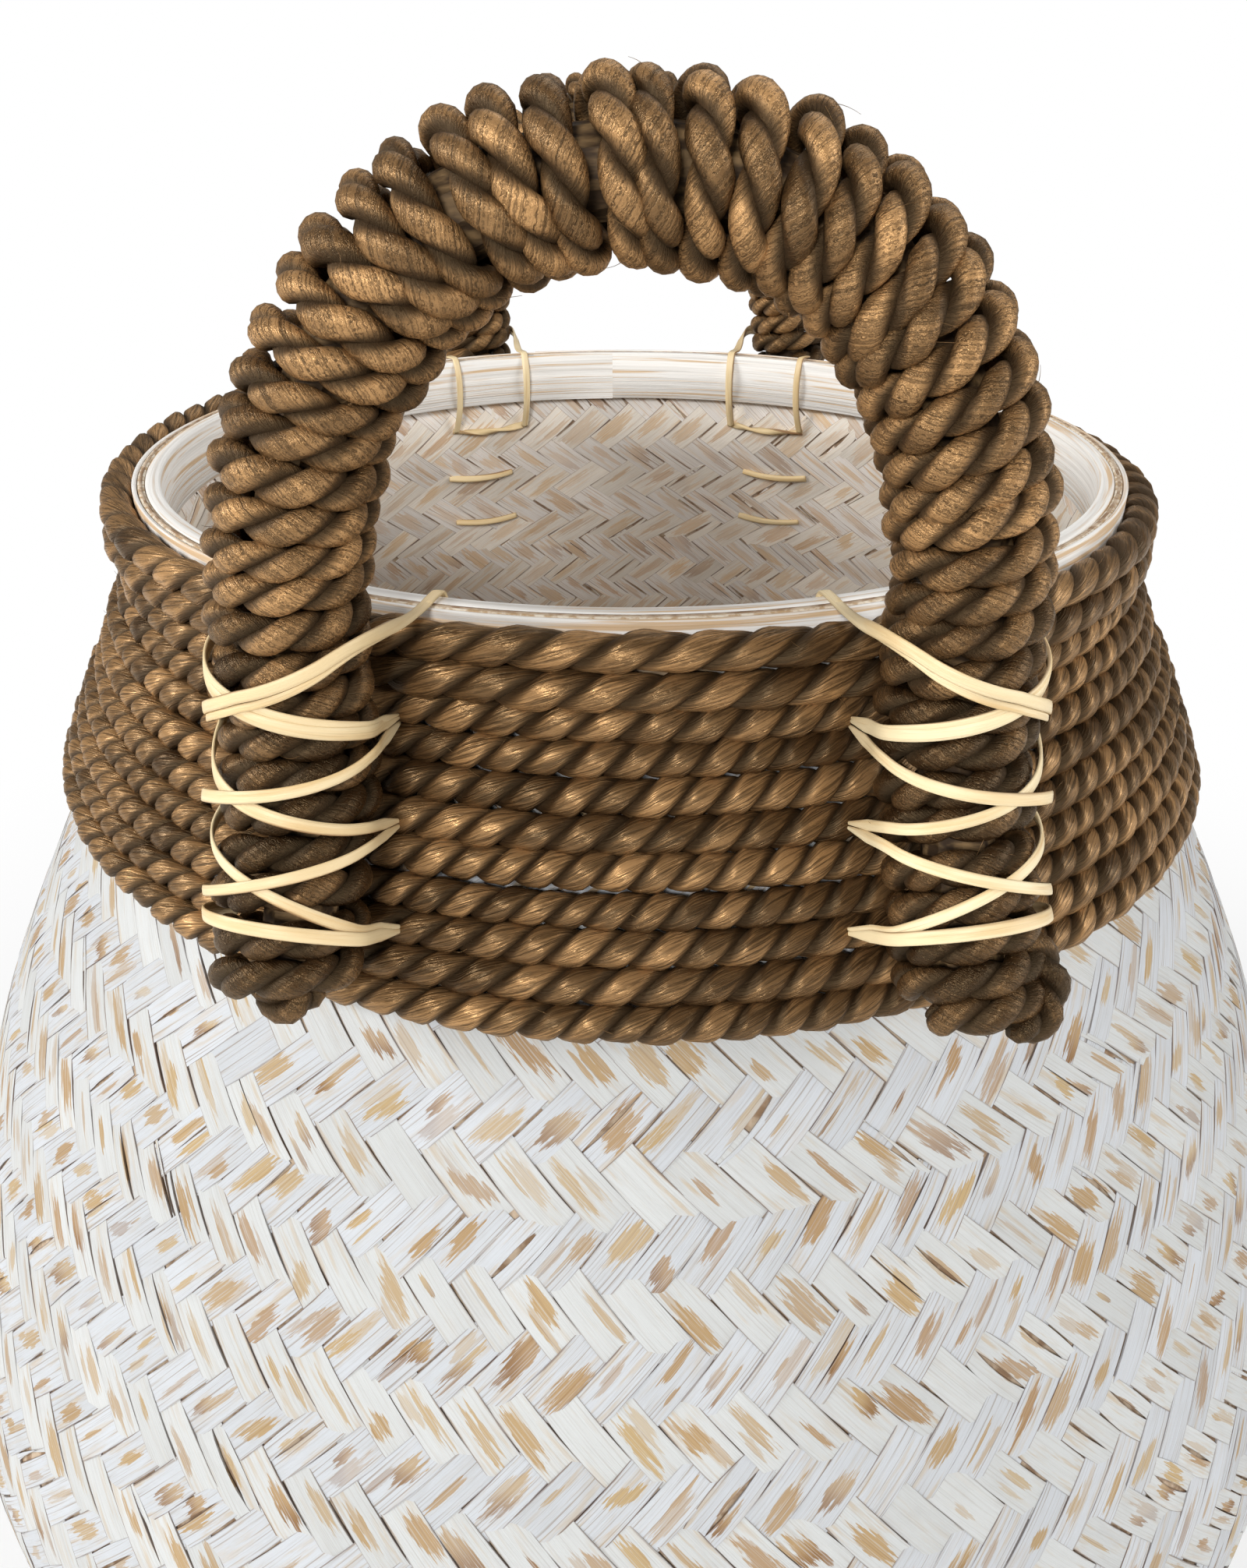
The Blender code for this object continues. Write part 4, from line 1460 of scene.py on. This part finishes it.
def makeSplitMaterial():
    finish = splitFinish
    material, tree, shader = newMaterial("rattanSplit", finish["roughness"], finish["specular"])
    grain = attribute(tree, "grain", "Vector")
    tone, edge = parts(tree, attribute(tree, "strip", "Color"))[:2]
    fine, broad = (fibreLine(tree, grain, finish[kind]) for kind in ("fine", "broad"))
    colour = mixed(tree, ramp(tree, broad, 0.42, 0.75), finish["pale"], finish["straw"])
    lines = times(tree, ramp(tree, fine, 0.58, 0.78), finish["lineDepth"])
    colour = mixed(tree, lines, colour, finish["dark"])
    colour = mixed(tree, times(tree, tone, finish["toneDepth"]), colour, finish["straw"])
    ragged = fitted(tree, broad, 0.5, edge)
    stained = times(tree, ramp(tree, ragged, 1.08, 1.30), ramp(tree, tone, 0.25, 0.55))
    feed(tree, shader.inputs["Base Color"], mixed(tree, stained, colour, finish["dark"]))
    bumped(tree, shader, fine, finish["relief"], 0.5)
    return material


splitMaterial = makeSplitMaterial()


def ribbonMesh(name, points, normals, face, width, thickness, seed, tone, twist=0.0, narrow=1.0):
    points, normals = (turnedRound(np.array(places, float), face) for places in (points, normals))
    lengths = lengthsAlong(points)
    rings = max(int(lengths[-1] / lace["ringStep"]), lace["leastRings"])
    at = np.linspace(0, lengths[-1], rings)
    middles = softened(lengths, points, at)
    normal = softened(lengths, normals, at)
    ahead = unit(np.gradient(middles, axis=0))
    normal = unit(normal - ahead * np.sum(normal * ahead, axis=1, keepdims=True))
    beside = np.cross(ahead, normal)
    turn = twist * at / lengths[-1] + slowNoise(at, *lace["turnWander"])
    up = normal * np.cos(turn)[:, None] + beside * np.sin(turn)[:, None]
    across = beside * np.cos(turn)[:, None] - normal * np.sin(turn)[:, None]
    sides = np.array(lace["section"])
    shape = (rings, len(sides))
    toHole = np.clip((lengths[-1] - at) / lace["narrowing"], 0, 1)
    wide = width * (1 + slowNoise(at, *lace["widthWander"])) * (narrow + (1 - narrow) * toHole)
    thick = np.broadcast_to(sides[:, 1] * thickness, shape)
    sections = np.stack([sides[None, :, 0] * wide[:, None], thick], axis=-1)
    grain = np.stack([np.broadcast_to(at[:, None], shape), sections[:, :, 0], np.full(shape, seed * 0.01)],
                     axis=-1)
    edge = np.broadcast_to(sides[:, 0] + 0.5, shape)
    paint = np.stack([np.full(shape, tone), edge, np.zeros(shape), np.ones(shape)], axis=-1)
    return sweptMesh(name, middles, across, up, sections, grain, paint)


def legSpot(drop, angle, lift, side):
    step = handle["coreRadius"]
    slope = float(legY(drop + step) - legY(drop - step))
    spreading = float(legSide(drop + step) - legSide(drop - step))
    along = unit(np.array([-side * spreading, slope, 2 * step]))
    front = np.array([0, -1.0, 0])
    out = unit(front - along * front.dot(along))
    spoke = out * math.cos(angle) + np.cross(along, out) * side * math.sin(angle)
    return legMiddle(drop, side) + spoke * (wrapRadius + lace["lift"] + lift), spoke


def bandSpot(x, drop, lift, side):
    radius = float(np.interp(drop, *neckSeat)) + rope["radius"] + lift
    return np.array([side * x, -math.sqrt(radius ** 2 - x ** 2), basket["height"] - drop])


def legStrand(side, strand, jitter):
    beside, front, inner, holeDrop, end, width, layer = strand
    leaving = front + lace["leaving"] * (inner - front)
    standing = end - lace["cutEndAngle"]
    curve = np.polyfit((math.radians(80), 0.0, -lace["innerAngle"]), (beside, front, leaving), 2)
    points, normals = [], []
    for angle in np.linspace(math.radians(end), -lace["innerAngle"], lace["legPoints"]):
        drop = float(np.polyval(curve, angle)) + jitter
        lift = layer * lace["thickness"]
        if end < 90:  # the cut end stands off the leg
            past = max(angle - math.radians(standing), 0) / math.radians(lace["cutEndAngle"])
            lift += lace["cutEndLift"] * past
        spot, normal = legSpot(drop, angle, lift, side)
        points.append(spot)
        normals.append(normal)
    hole = bandSpot(lace["holes"][0 if side < 0 else 1], holeDrop, 0.0, side)
    away = hole - points[-1]
    points += [points[-1] + away * 0.5, hole]
    normals += [np.array([-side * 0.90, -0.40, 0.20]), np.array([-side * 0.80, -0.50, 0.35])]
    return points, normals, width * lace["width"]


def rimStrand(side, offset):
    x = handle["legX"] + offset
    wallInside = basket["stationRadii"][0] - basket["wallThickness"]
    hoopInside = wallInside - basket["seatGap"] - hoops["innerThickness"]
    rise = lace["thickness"] / 2 + 0.0005
    low = lace["stapleDrop"]
    stops = [(wallRadius(low) - basket["wallThickness"] - rise - 0.0005, low + 0.0003, 180),
             (hoopInside - rise, hoops["innerHeight"], 180), (hoopInside - rise, 0.0016, 180),
             (hoopInside + 0.0004, -rise, 130), (wallInside, -rise - 0.0003, 90),
             (neck["hoopOutside"], -rise, 80)]
    angle = math.atan2(-math.sqrt(neck["hoopOutside"] ** 2 - x ** 2), side * x)
    radial = np.array([math.cos(angle), math.sin(angle), 0])
    points, normals = [], []
    for radius, drop, lean in stops:
        lean = math.radians(lean)
        points.append(radial * radius + np.array([0, 0, basket["height"] - drop]))
        normals.append(radial * math.cos(lean) + np.array([0, 0, math.sin(lean)]))
    return points, normals


def lacingRibbons(side):
    width, thick = lace["width"], lace["thickness"]
    ribbons = []
    over, overNormals = rimStrand(side, -lace["innerStrand"])
    stops = np.radians([angle for angle, drop in lace["rimStrand"]])
    drops = [drop for angle, drop in lace["rimStrand"]]
    for apart, wide, layer in lace["pair"]:
        points, normals = [spot + np.array([0, 0, -0.1 * apart]) for spot in over], list(overNormals)
        for angle in np.linspace(stops[0], stops[-1], lace["legPoints"]):
            share = (angle - stops[0]) / (stops[-1] - stops[0])
            shift = apart * math.sin(math.pi * (0.22 + 0.70 * share))
            spot, normal = legSpot(float(np.interp(angle, stops, drops)) + shift, angle, thick * layer, side)
            points.append(spot)
            normals.append(normal)
        ribbons.append((points, normals, width * wide, 1.0))
    for strand in lace["strands"]:
        ribbons.append((*legStrand(side, strand, swing(lace["jitter"])), 0.25))
    return ribbons


def stapleRibbons(side):
    ribbons = []
    for offset in (-lace["innerStrand"], lace["outerStrand"]):
        points, normals = rimStrand(side, offset)
        ribbons.append((points, normals, lace["width"] * lace["plainWidth"], 1.0))
    return ribbons


def insideStitch(fromX, toX, drop, side):
    points, normals = [], []
    for share in np.linspace(0, 1, lace["stitchPoints"]):
        x = fromX + (toX - fromX) * share
        radius = float(wallRadius(drop)) - basket["wallThickness"]
        dip = 4 * share * (1 - share)
        angle = math.asin(x / radius)
        radial = np.array([side * math.sin(angle), -math.cos(angle), 0])
        spot = radial * (radius - lace["stitchLift"] - lace["stitchDip"] * dip)
        points.append(spot + np.array([0, 0, basket["height"] - drop - lace["stitchSag"] * dip]))
        normals.append(-radial)
    return points, normals


def makeLacing():
    seed = 1.0
    thick = lace["thickness"]
    # level, drop, reach to each side of the leg, and how far the split turns over
    inside = [("staple", lace["stapleDrop"], lace["innerStrand"], lace["outerStrand"], 5.6)]
    for level, drop in zip(("upper", "lower"), lace["stitchDrops"]):
        inside.append((level, drop, lace["stitchInner"], lace["stitchOuter"], 0.5))
    for prefix, face in (("front", 1), ("rear", -1)):
        for hand, side in (("left", -1), ("right", 1)):
            leg = prefix + "_" + hand
            side = side * face
            pale = 0.0 if side > 0 else 0.45  # the splits on the right legs are paler
            meshes = []
            for points, normals, width, narrow in lacingRibbons(side) + stapleRibbons(side):
                seed += 1.7
                tone = pale + dice.uniform(0, 0.5)
                meshes.append(ribbonMesh(leg, points, normals, face, width, thick, seed, tone, narrow=narrow))
            for level, drop, inner, outer, twist in inside:
                seed += 1.7
                points, normals = insideStitch(handle["legX"] - inner, handle["legX"] + outer, drop, side)
                label = prefix + hand.capitalize() + level.capitalize() + "Stitch"
                width = lace["width"] * lace["plainWidth"]
                mesh = ribbonMesh(label, points, normals, face, width, thick * 2.0, seed, 0.8, twist)
                if level == "staple":
                    meshes.append(mesh)
                else:
                    node = leg + "_" + level + "_stitch"
                    placePiece(label, mesh, splitMaterial, "rattan_split", node)
            label = prefix + hand.capitalize() + "Lacing"
            placePiece(label, joinMeshes(label, meshes), splitMaterial, "rattan_split", leg + "_lacing")


makeLacing()
print("lacing made")

# Pale floor, soft studio light
studio = {
    "floorSize": 12,
    "floor": (0.86, 0.86, 0.86),
    "speckle": (0.85, 0.85, 0.85),
    # the camera sees the floor fade to white between these distances, from the least share
    "fade": (0.25, 0.75),
    "leastWhite": 0.45,
    "world": 0.22,
    # name, place, target, size and watts
    "lamps": (
        ("frontLamp", (-0.5, -2.2, 1.45), (0, 0, 0.35), 0.55, 40),
        ("leftLamp", (-2.1, -0.5, 1.4), (0, 0, 0.3), 0.8, 38),
        ("rightLamp", (2.1, -0.5, 1.2), (0, 0, 0.3), 1.2, 28),
        ("backLamp", (0.3, 1.6, 2.4), (0, 0, 0.35), 1.6, 12),
    ),
}


def makeFloorMaterial():
    material, tree, shader = newMaterial("paleFloor", 0.9, 0.1)
    place = tree.nodes.new("ShaderNodeTexCoord").outputs["Object"]
    colour = mixed(tree, noise(tree, place, 40, 2), studio["speckle"], studio["floor"])
    feed(tree, shader.inputs["Base Color"], colour)
    glow = tree.nodes.new("ShaderNodeEmission")
    glow.inputs["Color"].default_value = (1, 1, 1, 1)
    distance = tree.nodes.new("ShaderNodeVectorMath")
    distance.operation = "LENGTH"
    feed(tree, distance.inputs[0], place)
    far = ramp(tree, distance.outputs["Value"], *studio["fade"])
    white = fitted(tree, far, 1 - studio["leastWhite"], studio["leastWhite"])
    seen = tree.nodes.new("ShaderNodeLightPath").outputs["Is Camera Ray"]
    blend = tree.nodes.new("ShaderNodeMixShader")
    for socket, value in zip(blend.inputs, (times(tree, seen, white), shader.outputs[0], glow.outputs[0])):
        feed(tree, socket, value)
    output = next(item for item in tree.nodes if item.type == "OUTPUT_MATERIAL")
    feed(tree, output.inputs["Surface"], blend.outputs[0])
    return material


def makeStudio():
    work = bmesh.new()
    bmesh.ops.create_grid(work, x_segments=1, y_segments=1, size=studio["floorSize"] / 2)
    floor = addObject("studioFloor", intoMesh(work, bpy.data.meshes.new("studioFloor")))
    floor.data.materials.append(makeFloorMaterial())

    world = bpy.data.worlds.new("studioWorld")
    bpy.context.scene.world = world
    world.use_nodes = True
    tree = world.node_tree
    background = tree.nodes["Background"]
    background.inputs["Color"].default_value = (1, 1, 1, 1)
    seen = tree.nodes.new("ShaderNodeLightPath").outputs["Is Camera Ray"]
    feed(tree, background.inputs["Strength"], fitted(tree, seen, 1 - studio["world"], studio["world"]))

    for name, place, target, size, power in studio["lamps"]:
        lamp = bpy.data.lights.new(name, "AREA")
        lamp.shape = "SQUARE"
        lamp.size = size
        lamp.energy = power
        holder = addObject(name, lamp)
        holder.location = place
        holder.rotation_euler = (Vector(target) - Vector(place)).to_track_quat("-Z", "Y").to_euler()

    bpy.context.scene.view_settings.view_transform = "Standard"


makeStudio()
print("studio made")
